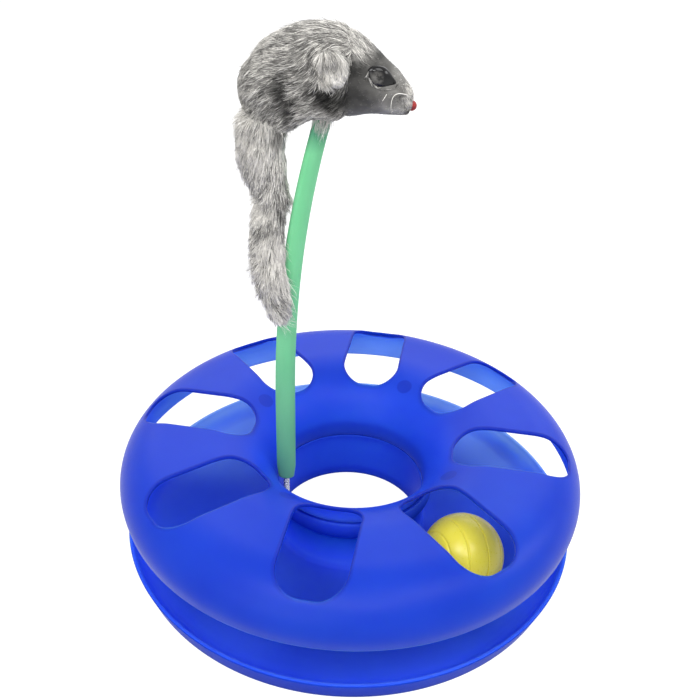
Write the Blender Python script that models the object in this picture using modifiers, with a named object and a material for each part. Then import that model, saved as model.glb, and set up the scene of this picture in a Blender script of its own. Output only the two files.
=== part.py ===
"""Cat track toy: a ring-shaped ball track with a furry mouse on a springy rod.

Metres, +Z up. The origin is the ring's centre, on the surface that the toy stands on.
"""
from math import cos, pi, radians, sin, sqrt

import bmesh
import bpy
from mathutils import Matrix, Vector

MM = 0.001

# Clearances
SEAT_GAP = 0.3 * MM            # between pieces that touch
SNAP_DEPTH = 0.6 * MM          # how far the snap bead stands into its groove

# Ring, top shell
RING_RADIUS = 121 * MM         # widest point
RIM_TUCK = 1 * MM              # the rim pulls in this much below the widest point
RIM_HEIGHT = 36 * MM           # lower edge of the top shell
WIDEST_RISE = 6.5 * MM         # widest point above that edge
CROWN_HEIGHT = 63 * MM
SHOULDER_SPAN = 25 * MM        # from the widest point in to the crown
CROWN_FLAT = 19 * MM           # level width of the crown
WALL = 2 * MM
STEP_HEIGHT = 28.8 * MM        # where the top shell's skirt ends inside the hole
WINDOW_COUNT = 8
WINDOW_TURN = -98.5            # degrees, the first window's direction
WINDOW_WIDTH = 32 * MM
WINDOW_CORNER = 13 * MM
WINDOW_RIM_MARGIN = 8 * MM     # from the window's outer end to the widest point
WINDOW_HOLE_MARGIN = 15 * MM   # from the window's inner end to the hole
RING_STEPS = 60
ARC_POINTS = 6                 # points of each rounded stretch of a profile

# Ring, base shell
HOLE_RADIUS = 39 * MM
LIP_HEIGHT = 12.5 * MM
LIP_DROP = 4 * MM              # the lip's outer face leans in by this much at the floor
FLOOR_RISE = 1.2 * MM          # hollow under the floor, between the two foot rims
FOOT_WIDTH = 8 * MM
FLOOR_CORNER = 10 * MM         # rounding from the floor up to the lip
SPIGOT_RISE = 7.5 * MM         # the collar's spigot above the step
SNAP_RISE = 4.5 * MM           # the snap bead above the step
COLLAR_JOG = 4 * MM            # height over which the collar steps out to its spigot

# Ball
BALL_DIAMETER = 41 * MM
BALL_WALL = 1.4 * MM
BALL_TURN = -40.5              # degrees, where the ball lies in its track
BALL_GROOVE = 0.5 * MM         # depth of the moulded ring grooves
GROOVE_HALF_ANGLE = 2          # degrees of latitude
GROOVE_LATITUDES = {"ball_half_a": (36, 62), "ball_half_b": (62,)}
BALL_POLE = (-0.86, -0.42, 0.28)
BALL_STEPS = 24

# Rod
ROD_INSET = 4 * MM             # rod's axis inside the hole's wall
ROD_TURN = 190                 # degrees, where the rod stands in the hole
SPRING_RADIUS = 1.7 * MM
SPRING_WIRE = 0.7 * MM
SPRING_PITCH = 1.2 * MM
CURL_POINTS = 8
SOCKET_TOP = 20 * MM
SOCKET_DEPTH = 6 * MM
SOCKET_WALL = 1.4 * MM
SOCKET_HEIGHT = 16 * MM
SLEEVE_FOOT = 34 * MM          # lower end of the green sleeve
SPRING_GRIP = 5 * MM           # spring inside the sleeve
CORE_OVERLAP = 4 * MM          # core wire inside the spring
CORE_RADIUS = 0.7 * MM
SLEEVE_WIDTH = 10 * MM
SLEEVE_DEPTH = 5.6 * MM
SLEEVE_TAPER = 8 * MM          # rounded-off stretch at the sleeve's foot
SLEEVE_TWIST = 55              # degrees, from the foot to the top
ROD_TOP = 236 * MM             # upper end of the sleeve, inside the mouse
LEAN_START = 80 * MM           # the rod is straight up to here
ROD_LEAN = 19.8 * MM           # how far the top leans towards +X
LEAN_POWER = 2.3
ROD_STATIONS = 22
SLEEVE_SIDES = 14
ROUND_SIDES = 16               # sides of the small bores and of the ferrule
FERRULE_RADIUS = 2.4 * MM
FERRULE_LENGTH = 10 * MM
FERRULE_GRIP = 7.5 * MM        # core wire inside the ferrule

# Mouse, sections along X from the rod's top: offset, lift, half height, half width
BODY_SECTIONS = (
    (-36.6, 3.0, 4.6, 4.4), (-34.2, 3.4, 9.2, 8.6), (-30.0, 4.4, 13.4, 12.0),
    (-23.3, 7.0, 17.0, 14.6), (-13.3, 9.2, 19.3, 16.0), (-3.3, 10.8, 18.9, 16.0),
    (5.7, 10.3, 17.3, 14.4), (11.4, 10.2, 11.8, 10.4), (14.2, 9.8, 5.6, 5.2))
HEAD_SECTIONS = (
    (3.0, 9.5, 15.3, 12.4), (10.2, 9.7, 16.3, 13.4), (16.7, 8.4, 13.8, 12.0),
    (23.2, 5.2, 10.8, 9.6), (28.4, 2.5, 8.4, 7.4), (32.0, 0.1, 5.8, 5.2), (33.8, -0.9, 3.4, 3.2))
SOFT_SIDES = 12
ROD_SOCKET_REACH = 40 * MM     # the rod's socket is cut from this far below the rod's top
EAR_SIDES = 8
EAR_ROOT = (-1.6, 13.6, 21.4)  # offset from the rod's top: forward, outward, up
EAR_TIP = (5.2, 15.6, 8.0)
EAR_HALF_WIDTHS = (2.6, 5.2, 5.8, 4.6, 1.8)
EAR_THICKNESS = 4.4 * MM
EYE_PLACE = (21.0, 9.0, 10.8)
EYE_HALF_SIZE = (6.9, 2.6, 4.2)
EYE_TILT = 24                  # degrees, nose-down slope of the eye
EYE_TOE_IN = 20                # degrees, the eye follows the narrowing snout
NOSE_PLACE = (34.2, 0.0, -2.0)
NOSE_RADIUS = 2.1 * MM
WHISKER_RADIUS = 0.3 * MM
WHISKER_LINES = (              # offsets from the rod's top: forward, outward, up
    ((32.6, 3.0, 1.6), (31.8, 5.9, 3.5), (30.3, 7.3, 4.3), (28.2, 9.1, 4.9), (26.4, 10.5, 4.5),
     (25.5, 11.1, 3.0), (25.2, 11.3, 0.9), (25.3, 11.1, -1.5)),
    ((23.4, 8.0, 4.4), (23.1, 10.0, 4.4), (22.6, 11.9, 4.0), (21.6, 14.2, 3.0)))

# Tail, hanging from the mouse's rear
TAIL_PIVOT = (-28.6, 0.0, -13.5)
TAIL_ROOT_RADIUS = 9.5 * MM
TAIL_BEND_DROP = 32 * MM       # second pivot below the first
TAIL_BEND_SHIFT = 3.7 * MM
TAIL_BEND_RADIUS = 6.4 * MM
TAIL_CUFF = 4 * MM             # the upper part stops this far above the second pivot
TAIL_TIP_RADIUS = 4.5 * MM
TAIL_TIP_LENGTH = 7.2 * MM     # rounded end of the lower part
TAIL_SIDES = 16
TAIL_LENGTH = 56 * MM          # lower part, from the second pivot to the tip
TAIL_DRIFT = (3.4 * MM, -10 * MM)  # the tip passes in front of the rod
TAIL_BOWS = (2 * MM, 3.1 * MM)  # how far each part bows away from the rod at its middle
TAIL_BELLY = 1.1 * MM          # how far each tail part swells at its middle
TAIL_STATIONS = 6
TAIL_DOME_TURNS = (80, 60, 38, 18)  # degrees, rings of each rounded end

# Values worked out from the ones above
STEP_RADIUS = HOLE_RADIUS + SEAT_GAP
CROWN_OUTER = RING_RADIUS - SHOULDER_SPAN
CROWN_INNER = CROWN_OUTER - CROWN_FLAT
WIDEST_HEIGHT = RIM_HEIGHT + WIDEST_RISE
FLOOR_TOP = FLOOR_RISE + WALL
LIP_RADIUS = RING_RADIUS - RIM_TUCK
FOOT_RADIUS = LIP_RADIUS - LIP_DROP
TRACK_INNER = STEP_RADIUS + 2 * WALL + SEAT_GAP
TRACK_OUTER = LIP_RADIUS - WALL - FLOOR_CORNER
BALL_RADIUS = BALL_DIAMETER / 2
BALL_ORBIT = (TRACK_INNER + TRACK_OUTER) / 2
ROD_RADIUS = HOLE_RADIUS - ROD_INSET
ROD_X = ROD_RADIUS * cos(radians(ROD_TURN))
ROD_Y = ROD_RADIUS * sin(radians(ROD_TURN))
SPRING_FOOT = SOCKET_TOP - SOCKET_DEPTH + SEAT_GAP
SPRING_HEAD = SLEEVE_FOOT + SPRING_GRIP
BORE_RADIUS = SPRING_RADIUS + SEAT_GAP

PARTS = bpy.data.collections.new("cat_track_toy")
CUTTERS = bpy.data.collections.new("cutters")


def clear_scene():
    for old in list(bpy.data.objects):
        bpy.data.objects.remove(old, do_unlink=True)
    for collection in (PARTS, CUTTERS):
        bpy.context.scene.collection.children.link(collection)


def finish_material(name, colour, roughness, metallic=0.0):
    material = bpy.data.materials.new(name)
    material.use_nodes = True
    shader = material.node_tree.nodes["Principled BSDF"]
    shader.inputs["Base Color"].default_value = (*colour, 1.0)
    shader.inputs["Roughness"].default_value = roughness
    shader.inputs["Metallic"].default_value = metallic
    return material


def add_part(name, data, material):
    obj = bpy.data.objects.new(name, data)
    PARTS.objects.link(obj)
    obj.data.materials.append(material)
    return obj


def add_cutter(name, data):
    obj = bpy.data.objects.new(name, data)
    CUTTERS.objects.link(obj)
    obj.hide_render = True
    obj.display_type = "WIRE"
    return obj


def add_axis(name, place):
    """An empty on a joint's axis, which carries the pieces that the joint moves."""
    empty = bpy.data.objects.new(name, None)
    empty.location = place
    empty.empty_display_size = 0.02
    PARTS.objects.link(empty)
    return empty


def carry(empty, *pieces):
    for piece in pieces:
        piece.parent = empty
        piece.matrix_parent_inverse = Matrix.Translation(empty.location).inverted()


def mesh_from(bm, name):
    bmesh.ops.recalc_face_normals(bm, faces=bm.faces)
    mesh = bpy.data.meshes.new(name)
    bm.to_mesh(mesh)
    bm.free()
    return mesh


def smooth(obj, angle=35):
    obj.data.shade_smooth()
    obj.data.set_sharp_from_angle(angle=radians(angle))


def cut(obj, cutter, operation="DIFFERENCE"):
    boolean = obj.modifiers.new(cutter.name, "BOOLEAN")
    boolean.operation = operation
    boolean.object = cutter
    return boolean


def soften(obj, levels=1):
    subdivision = obj.modifiers.new("soft", "SUBSURF")
    subdivision.levels = levels
    subdivision.render_levels = levels


def turned(data_name, profile, steps, closed=True):
    """Mesh of an outline of (radius, height) points, and the settings that turn it.

    An open outline has both its ends on the axis.
    """
    mesh = bpy.data.meshes.new(data_name)
    count = len(profile)
    edges = [(i, (i + 1) % count) for i in range(count if closed else count - 1)]
    mesh.from_pydata([(r, 0, z) for r, z in profile], edges, [])

    def spin(obj):
        screw = obj.modifiers.new("turn", "SCREW")
        screw.axis = "Z"
        screw.steps = steps
        screw.render_steps = steps
        screw.use_merge_vertices = True
        screw.merge_threshold = 0.01 * MM
        screw.use_smooth_shade = True

    return mesh, spin


def arc(centre, radii, start, end, points):
    """Points of an elliptical arc, both ends included, angles in degrees."""
    steps = [radians(start + (end - start) * i / (points - 1)) for i in range(points)]
    return [(centre[0] + radii[0] * cos(a), centre[1] + radii[1] * sin(a)) for a in steps]


def cylinder_mesh(name, radius, height, sides):
    bm = bmesh.new()
    bmesh.ops.create_cone(bm, cap_ends=True, segments=sides, radius1=radius, radius2=radius, depth=height)
    return mesh_from(bm, name)


def ball_mesh(name, half_size, segments):
    bm = bmesh.new()
    bmesh.ops.create_uvsphere(bm, u_segments=segments, v_segments=segments // 2, radius=1)
    bmesh.ops.scale(bm, vec=half_size, verts=bm.verts)
    return mesh_from(bm, name)


def rounded_block(name, size, corner, segments):
    """A box with its four upright edges rounded."""
    bm = bmesh.new()
    bmesh.ops.create_cube(bm, size=1)
    bmesh.ops.scale(bm, vec=size, verts=bm.verts)
    upright = [e for e in bm.edges if abs(e.verts[0].co.z - e.verts[1].co.z) > size[2] / 2]
    bmesh.ops.bevel(bm, geom=upright, offset=corner, segments=segments, profile=0.5, affect="EDGES")
    return mesh_from(bm, name)


def loft_mesh(name, sections, sides):
    """A closed skin over oval sections: each is a centre and its two half axes."""
    bm = bmesh.new()
    angles = [2 * pi * i / sides for i in range(sides)]
    rings = []
    for centre, u, v in sections:
        rings.append([bm.verts.new(centre + u * cos(a) + v * sin(a)) for a in angles])
    for low, high in zip(rings, rings[1:]):
        for i in range(sides):
            j = (i + 1) % sides
            bm.faces.new((low[i], low[j], high[j], high[i]))
    bm.faces.new(rings[0])
    bm.faces.new(rings[-1])
    return mesh_from(bm, name)


def tube_mesh(name, points, radius, resolution):
    """A round bar along the points, as a mesh with its end caps welded."""
    curve = bpy.data.curves.new(name, "CURVE")
    curve.dimensions = "3D"
    curve.bevel_depth = radius
    curve.bevel_resolution = resolution
    curve.use_fill_caps = True
    spline = curve.splines.new("POLY")
    spline.points.add(len(points) - 1)
    for target, point in zip(spline.points, points):
        target.co = (*point, 1)
    guide = bpy.data.objects.new(name + "_guide", curve)
    bpy.context.scene.collection.objects.link(guide)
    graph = bpy.context.evaluated_depsgraph_get()
    mesh = bpy.data.meshes.new_from_object(guide.evaluated_get(graph))
    bpy.data.objects.remove(guide, do_unlink=True)
    bm = bmesh.new()
    bm.from_mesh(mesh)
    bmesh.ops.remove_doubles(bm, verts=bm.verts, dist=0.001 * MM)
    bpy.data.meshes.remove(mesh)
    return mesh_from(bm, name)


def skirt_inside(height):
    """Radius of the top shell's inner flank on its track side."""
    span = CROWN_INNER - STEP_RADIUS - WALL
    rise = CROWN_HEIGHT - STEP_HEIGHT - WALL
    return CROWN_INNER - span * sqrt(1 - ((height - STEP_HEIGHT) / rise) ** 2)


def snap_outline(offset, reach):
    """The snap joint's three points, low to high, at an offset from the inner flank."""
    low, high = (STEP_HEIGHT + SNAP_RISE - SNAP_DEPTH * k for k in (2, -2))
    middle = (low + high) / 2
    return [(skirt_inside(low) + offset, low), (skirt_inside(middle) + offset - reach, middle),
            (skirt_inside(high) + offset, high)]


def top_shell_profile():
    flank = (CROWN_INNER - STEP_RADIUS, CROWN_HEIGHT - STEP_HEIGHT)
    shoulder = (SHOULDER_SPAN, CROWN_HEIGHT - WIDEST_HEIGHT)
    flank_in = (flank[0] - WALL, flank[1] - WALL)
    shoulder_in = (shoulder[0] - WALL, shoulder[1] - WALL)
    rim = LIP_RADIUS
    outside = arc((CROWN_INNER, STEP_HEIGHT), flank, 180, 90, ARC_POINTS + 2)
    outside += arc((CROWN_OUTER, WIDEST_HEIGHT), shoulder, 90, 0, ARC_POINTS)
    outside += [(rim, RIM_HEIGHT), (rim - WALL, RIM_HEIGHT)]
    inside = arc((CROWN_OUTER, WIDEST_HEIGHT), shoulder_in, 0, 90, ARC_POINTS)
    groove = snap_outline(0, SNAP_DEPTH)[::-1]
    flank_arc = arc((CROWN_INNER, STEP_HEIGHT), flank_in, 90, 180, ARC_POINTS + 2)
    above = [point for point in flank_arc if point[1] > groove[0][1] + SNAP_DEPTH]
    return outside + inside + above + groove + [flank_arc[-1]]


def base_shell_profile():
    spigot_top = STEP_HEIGHT + SPIGOT_RISE
    shoulder = STEP_HEIGHT - SEAT_GAP
    face = skirt_inside(STEP_HEIGHT) + SEAT_GAP
    bead = snap_outline(SEAT_GAP, SNAP_DEPTH)
    spigot = [(face, shoulder)] + bead + [(skirt_inside(spigot_top) + SEAT_GAP, spigot_top)]
    track_face = spigot[-1][0] + WALL
    outer_foot = FOOT_RADIUS - FOOT_WIDTH
    inner_foot = HOLE_RADIUS + FOOT_WIDTH
    collar = HOLE_RADIUS + WALL
    lip = LIP_RADIUS - WALL
    corner = LIP_HEIGHT - FLOOR_TOP
    bowl = arc((lip - FLOOR_CORNER, LIP_HEIGHT), (FLOOR_CORNER, corner), 270, 360, ARC_POINTS)
    foot = [(LIP_RADIUS, LIP_HEIGHT), (FOOT_RADIUS, 0), (outer_foot, 0),
            (outer_foot - FLOOR_RISE, FLOOR_RISE), (inner_foot + FLOOR_RISE, FLOOR_RISE),
            (inner_foot, 0), (HOLE_RADIUS, 0), (HOLE_RADIUS, shoulder)]
    inner_wall = [(track_face, spigot_top), (track_face, shoulder - WALL / 2),
                  (collar, shoulder - WALL / 2 - COLLAR_JOG), (collar, FLOOR_TOP + WALL),
                  (collar + WALL, FLOOR_TOP)]
    return foot + spigot + inner_wall + bowl[:-1] + [(lip, LIP_HEIGHT)]


def make_top_shell(material):
    mesh, spin = turned("top_shell", top_shell_profile(), RING_STEPS)
    shell = add_part("top_shell", mesh, material)
    spin(shell)
    inner = HOLE_RADIUS + WINDOW_HOLE_MARGIN
    outer = RING_RADIUS - WINDOW_RIM_MARGIN
    size = (outer - inner, WINDOW_WIDTH, CROWN_HEIGHT)
    window = rounded_block("window", size, WINDOW_CORNER, ARC_POINTS)
    for k in range(WINDOW_COUNT):
        turn = radians(WINDOW_TURN + 360 * k / WINDOW_COUNT)
        cutter = add_cutter("window_%d" % (k + 1), window)
        middle = (inner + outer) / 2
        cutter.location = (middle * cos(turn), middle * sin(turn), CROWN_HEIGHT)
        cutter.rotation_euler = (0, 0, turn)
        cut(shell, cutter)
    return shell


def make_base_shell(material):
    """Lower tray of the track, with the spring's socket moulded on its collar."""
    mesh, spin = turned("base_shell", base_shell_profile(), RING_STEPS)
    shell = add_part("base_shell", mesh, material)
    spin(shell)
    half_width = BORE_RADIUS + SOCKET_WALL
    length = ROD_INSET + WALL / 2 + half_width
    corner = half_width - SEAT_GAP / 2
    block = rounded_block("socket", (length, 2 * half_width, SOCKET_HEIGHT), corner, ARC_POINTS)
    boss = add_cutter("socket_boss", block)
    turn = radians(ROD_TURN)
    middle = HOLE_RADIUS + WALL / 2 - length / 2
    boss.location = (middle * cos(turn), middle * sin(turn), SOCKET_TOP - SOCKET_HEIGHT / 2)
    boss.rotation_euler = (0, 0, turn)
    cut(shell, boss, "UNION")
    hollow = cylinder_mesh("socket_bore", BORE_RADIUS, 2 * SOCKET_DEPTH, ROUND_SIDES)
    bore = add_cutter("socket_bore", hollow)
    bore.location = (ROD_X, ROD_Y, SOCKET_TOP)
    cut(shell, bore)
    return shell


def ball_half_profile(grooves):
    """Outline of one half shell about its pole, from the pole side down to the seam."""
    inner = BALL_RADIUS - BALL_WALL
    seam = SEAT_GAP / 2
    outline = [(0, BALL_RADIUS)]
    for step in range(1, ARC_POINTS + 3):
        angle = pi / 2 * step / (ARC_POINTS + 3)
        outline.append((BALL_RADIUS * sin(angle), BALL_RADIUS * cos(angle)))
    for latitude in grooves:
        for shift, depth in ((-GROOVE_HALF_ANGLE, 0), (0, BALL_GROOVE), (GROOVE_HALF_ANGLE, 0)):
            angle = radians(latitude + shift)
            outline.append(((BALL_RADIUS - depth) * sin(angle), (BALL_RADIUS - depth) * cos(angle)))
    outline.sort(key=lambda point: -point[1])
    outline.append((BALL_RADIUS - seam, seam))
    outline.append((inner, seam))
    for step in range(ARC_POINTS + 1, 0, -1):
        angle = pi / 2 * step / (ARC_POINTS + 2)
        outline.append((inner * sin(angle), inner * cos(angle)))
    outline.append((0, inner))
    return outline


def make_ball(material):
    """Two half shells that meet at a seam, with shallow ring grooves about their pole."""
    turn = radians(BALL_TURN)
    place = Vector((BALL_ORBIT * cos(turn), BALL_ORBIT * sin(turn), FLOOR_TOP + SEAT_GAP + BALL_RADIUS))
    pole = Vector(BALL_POLE)
    halves = []
    for name, side in (("ball_half_a", 1), ("ball_half_b", -1)):
        mesh, spin = turned(name, ball_half_profile(GROOVE_LATITUDES[name]), BALL_STEPS, closed=False)
        half = add_part(name, mesh, material)
        spin(half)
        half.location = place
        half.rotation_euler = (pole * side).to_track_quat("Z", "Y").to_euler()
        halves.append(half)
    return halves


def rod_point(height):
    """The rod's centre at a height: straight at first, then leaning over towards the mouse's nose."""
    share = max(0.0, height - LEAN_START) / (ROD_TOP - LEAN_START)
    return Vector((ROD_X + ROD_LEAN * share ** LEAN_POWER, ROD_Y, height))


def rod_direction(height):
    return (rod_point(height + MM) - rod_point(height - MM)).normalized()


def rod_heights(low, high, count):
    return [low + (high - low) * i / (count - 1) for i in range(count)]


def sleeve_sections(grow, low, high, count):
    """Oval sections of the flattened sleeve, which narrows at its foot and twists on its way up."""
    sections = []
    for height in rod_heights(low, high, count):
        along = min(1.0, max(0.0, (height - SLEEVE_FOOT) / SLEEVE_TAPER))
        narrow = BORE_RADIUS + WALL / 2
        half_width = narrow + (SLEEVE_WIDTH / 2 - narrow) * sqrt(along) + grow
        half_depth = SLEEVE_DEPTH / 2 + grow
        turn = radians(SLEEVE_TWIST) * (height - SLEEVE_FOOT) / (ROD_TOP - SLEEVE_FOOT)
        tangent = rod_direction(height)
        across = Vector((cos(turn), sin(turn), 0))
        across = (across - tangent * across.dot(tangent)).normalized()
        sections.append((rod_point(height), across * half_width, tangent.cross(across) * half_depth))
    return sections


def make_sleeve(material):
    sections = sleeve_sections(0, SLEEVE_FOOT, ROD_TOP, ROD_STATIONS)
    sleeve = add_part("sleeve", loft_mesh("sleeve", sections, SLEEVE_SIDES), material)
    smooth(sleeve, 60)
    past = 2 * WALL
    line = [rod_point(z) for z in rod_heights(SLEEVE_FOOT - past, ROD_TOP + past, ROD_STATIONS)]
    cut(sleeve, add_cutter("sleeve_bore", tube_mesh("sleeve_bore", line, BORE_RADIUS, 3)))
    return sleeve


def spring_points():
    """Centre line of the spring's wire: a straight stub, the curls, and a straight stub."""
    radius = SPRING_RADIUS - SPRING_WIRE / 2
    low = SPRING_FOOT + SPRING_WIRE
    high = SPRING_HEAD - SPRING_WIRE
    curls = int((high - low) / SPRING_PITCH)
    pitch = (high - low) / curls
    points = []
    for i in range(curls * CURL_POINTS + 1):
        angle = 2 * pi * i / CURL_POINTS
        height = low + pitch * i / CURL_POINTS
        points.append(Vector((ROD_X + radius * cos(angle), ROD_Y + radius * sin(angle), height)))
    stub = Vector((0, 0, SPRING_WIRE))
    return [points[0] - stub] + points + [points[-1] + stub]


def least_self_gap(points, wire):
    """Smallest clear distance between turns, measured on the centre line's points."""
    least = 1.0
    for i, first in enumerate(points):
        for second in points[i + CURL_POINTS // 2:]:
            least = min(least, (first - second).length)
    return least - wire


def make_spring(material):
    points = spring_points()
    print("spring: least gap to itself %.2f mm" % (least_self_gap(points, SPRING_WIRE) / MM))
    spring = add_part("spring_coil", tube_mesh("spring_coil", points, SPRING_WIRE / 2, 1), material)
    smooth(spring, 80)
    return spring


def make_core_wire(material):
    top = rod_point(ROD_TOP)
    direction = rod_direction(ROD_TOP)
    line = [rod_point(z) for z in rod_heights(SPRING_HEAD - CORE_OVERLAP, ROD_TOP, ROD_STATIONS)]
    line.append(top + direction * (SEAT_GAP + FERRULE_GRIP))
    wire = add_part("core_wire", tube_mesh("core_wire", line, CORE_RADIUS, 1), material)
    smooth(wire, 80)
    return wire


def ferrule_matrix(back=0.0):
    """Place of a cylinder's middle on the rod's line beyond its top, with its axis along the rod."""
    direction = rod_direction(ROD_TOP)
    middle = rod_point(ROD_TOP) + direction * (SEAT_GAP + FERRULE_LENGTH / 2 - back)
    return Matrix.Translation(middle) @ direction.to_track_quat("Z", "Y").to_matrix().to_4x4()


def make_ferrule(material):
    """Crimped end piece that holds the rod inside the mouse."""
    barrel = cylinder_mesh("wire_ferrule", FERRULE_RADIUS, FERRULE_LENGTH, ROUND_SIDES)
    ferrule = add_part("wire_ferrule", barrel, material)
    ferrule.matrix_world = ferrule_matrix()
    smooth(ferrule)
    reach = 2 * (FERRULE_GRIP + SEAT_GAP)
    hollow = cylinder_mesh("ferrule_bore", CORE_RADIUS + SEAT_GAP, reach, ROUND_SIDES)
    bore = add_cutter("ferrule_bore", hollow)
    bore.matrix_world = ferrule_matrix(FERRULE_LENGTH / 2)
    cut(ferrule, bore)
    return ferrule


def mouse_point(offset, side=1):
    """World point of a mouse offset, given in millimetres: forward, outward and up."""
    forward, outward, up = offset
    return rod_point(ROD_TOP) + Vector((forward, outward * side, up)) * MM


def mouse_sections(rows, grow):
    """Oval sections along X; a subdivided cage shrinks, so its rings are drawn larger by that share."""
    swell = 3 / (2 + cos(2 * pi / SOFT_SIDES))
    sections = []
    for forward, lift, half_height, half_width in rows:
        across = Vector((0, half_width * MM * swell + grow, 0))
        upright = Vector((0, 0, half_height * MM * swell + grow))
        sections.append((mouse_point((forward, 0, lift)), across, upright))
    sections[0][0].x -= grow
    sections[-1][0].x += grow
    return sections


def mouse_form(name, rows, grow=0.0):
    return loft_mesh(name, mouse_sections(rows, grow), SOFT_SIDES)


def make_grown(name, rows):
    """A cutter of the mouse's body or head, grown by the clearance that its neighbours keep."""
    grown = add_cutter(name, mouse_form(name, rows, SEAT_GAP))
    soften(grown)
    return grown


def make_mouse_body(material):
    body = add_part("mouse_body", mouse_form("mouse_body", BODY_SECTIONS), material)
    soften(body)
    smooth(body, 80)
    low = ROD_TOP - ROD_SOCKET_REACH
    sections = sleeve_sections(SEAT_GAP, low, ROD_TOP + SEAT_GAP, ROD_STATIONS // 2)
    cut(body, add_cutter("rod_socket", loft_mesh("rod_socket", sections, SLEEVE_SIDES)))
    size = FERRULE_LENGTH + 2 * SEAT_GAP
    hollow = cylinder_mesh("ferrule_pocket", FERRULE_RADIUS + SEAT_GAP, size, ROUND_SIDES)
    pocket = add_cutter("ferrule_pocket", hollow)
    pocket.matrix_world = ferrule_matrix()
    cut(body, pocket)
    return body


def make_mouse_head(material, grown_body):
    head = add_part("mouse_head", mouse_form("mouse_head", HEAD_SECTIONS), material)
    soften(head)
    smooth(head, 80)
    cut(head, grown_body)
    return head


def make_ear(name, side, material, seats):
    """A furred flap that lies back along the mouse's cheek."""
    root = mouse_point(EAR_ROOT, side)
    tip = mouse_point(EAR_TIP, side)
    along = (tip - root).normalized()
    outward = Vector((0, side, 0))
    flat = along.cross(outward).normalized()
    proud = flat.cross(along).normalized()
    last = len(EAR_HALF_WIDTHS) - 1
    sections = [(root.lerp(tip, i / last), flat * half * MM, proud * EAR_THICKNESS / 2)
                for i, half in enumerate(EAR_HALF_WIDTHS)]
    ear = add_part(name, loft_mesh(name, sections, EAR_SIDES), material)
    soften(ear)
    smooth(ear, 80)
    for seat in seats:
        cut(ear, seat)
    return ear


def make_eye(name, side, material, seats):
    half_size = [size * MM for size in EYE_HALF_SIZE]
    eye = add_part(name, ball_mesh(name, half_size, ROUND_SIDES), material)
    eye.location = mouse_point(EYE_PLACE, side)
    eye.rotation_euler = (0, radians(EYE_TILT), radians(-EYE_TOE_IN * side))
    smooth(eye, 80)
    for seat in seats:
        cut(eye, seat)
    return eye


def make_nose(material, grown_head):
    half_size = (NOSE_RADIUS, NOSE_RADIUS, NOSE_RADIUS)
    nose = add_part("nose", ball_mesh("nose", half_size, SOFT_SIDES), material)
    nose.location = mouse_point(NOSE_PLACE)
    smooth(nose, 80)
    cut(nose, grown_head)
    return nose


def make_whisker(name, side, line, material, grown_head):
    """A bristle that grows out of the snout and curls."""
    points = [mouse_point(offset, side) for offset in line]
    whisker = add_part(name, tube_mesh(name, points, WHISKER_RADIUS, 1), material)
    smooth(whisker, 80)
    cut(whisker, grown_head)
    return whisker


def tail_mesh(name, top, bottom, top_radius, bottom_radius, bow, tip):
    """A round-ended stretch of tail: a half ball at its pivot, a soft swell, then its lower end."""
    rows = []
    for turn in TAIL_DOME_TURNS:
        angle = radians(turn)
        rows.append((top + Vector((0, 0, top_radius * sin(angle))), top_radius * cos(angle)))
    for i in range(TAIL_STATIONS):
        share = i / (TAIL_STATIONS - 1)
        radius = top_radius + (bottom_radius - top_radius) * share + TAIL_BELLY * sin(pi * share)
        away = Vector((-4 * bow * share * (1 - share), 0, 0))
        rows.append((top.lerp(bottom, share) + away, radius))
    if tip:
        for turn in reversed(TAIL_DOME_TURNS):
            angle = radians(turn)
            drop = Vector((0, 0, TAIL_TIP_LENGTH * sin(angle)))
            rows.append((bottom - drop, bottom_radius * cos(angle)))
    sections = [(centre, Vector((radius, 0, 0)), Vector((0, radius, 0))) for centre, radius in rows]
    return loft_mesh(name, sections, TAIL_SIDES)


def make_tail(material, body):
    """Two furred lengths: the upper hangs in a hollow of the body, the lower in a hollow of the upper."""
    pivot = mouse_point(TAIL_PIVOT)
    bend = pivot + Vector((TAIL_BEND_SHIFT, 0, -TAIL_BEND_DROP))
    cuff = bend + Vector((0, 0, TAIL_CUFF))
    tip = bend + Vector((*TAIL_DRIFT, TAIL_TIP_LENGTH - TAIL_LENGTH))
    cuff_radius = TAIL_BEND_RADIUS + TAIL_BELLY
    upper_mesh = tail_mesh(
        "tail_upper", pivot, cuff, TAIL_ROOT_RADIUS, cuff_radius, TAIL_BOWS[0], False)
    lower_mesh = tail_mesh(
        "tail_lower", bend, tip, TAIL_BEND_RADIUS, TAIL_TIP_RADIUS, TAIL_BOWS[1], True)
    upper = add_part("tail_upper", upper_mesh, material)
    lower = add_part("tail_lower", lower_mesh, material)
    for name, place, radius, piece in (("tail_hollow", pivot, TAIL_ROOT_RADIUS, body),
                                       ("bend_hollow", bend, TAIL_BEND_RADIUS, upper)):
        size = radius + 2 * SEAT_GAP
        hollow = add_cutter(name, ball_mesh(name, (size, size, size), BALL_STEPS))
        hollow.location = place
        cut(piece, hollow)
    for piece in (upper, lower):
        smooth(piece, 80)
    return upper, lower, pivot, bend


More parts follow.
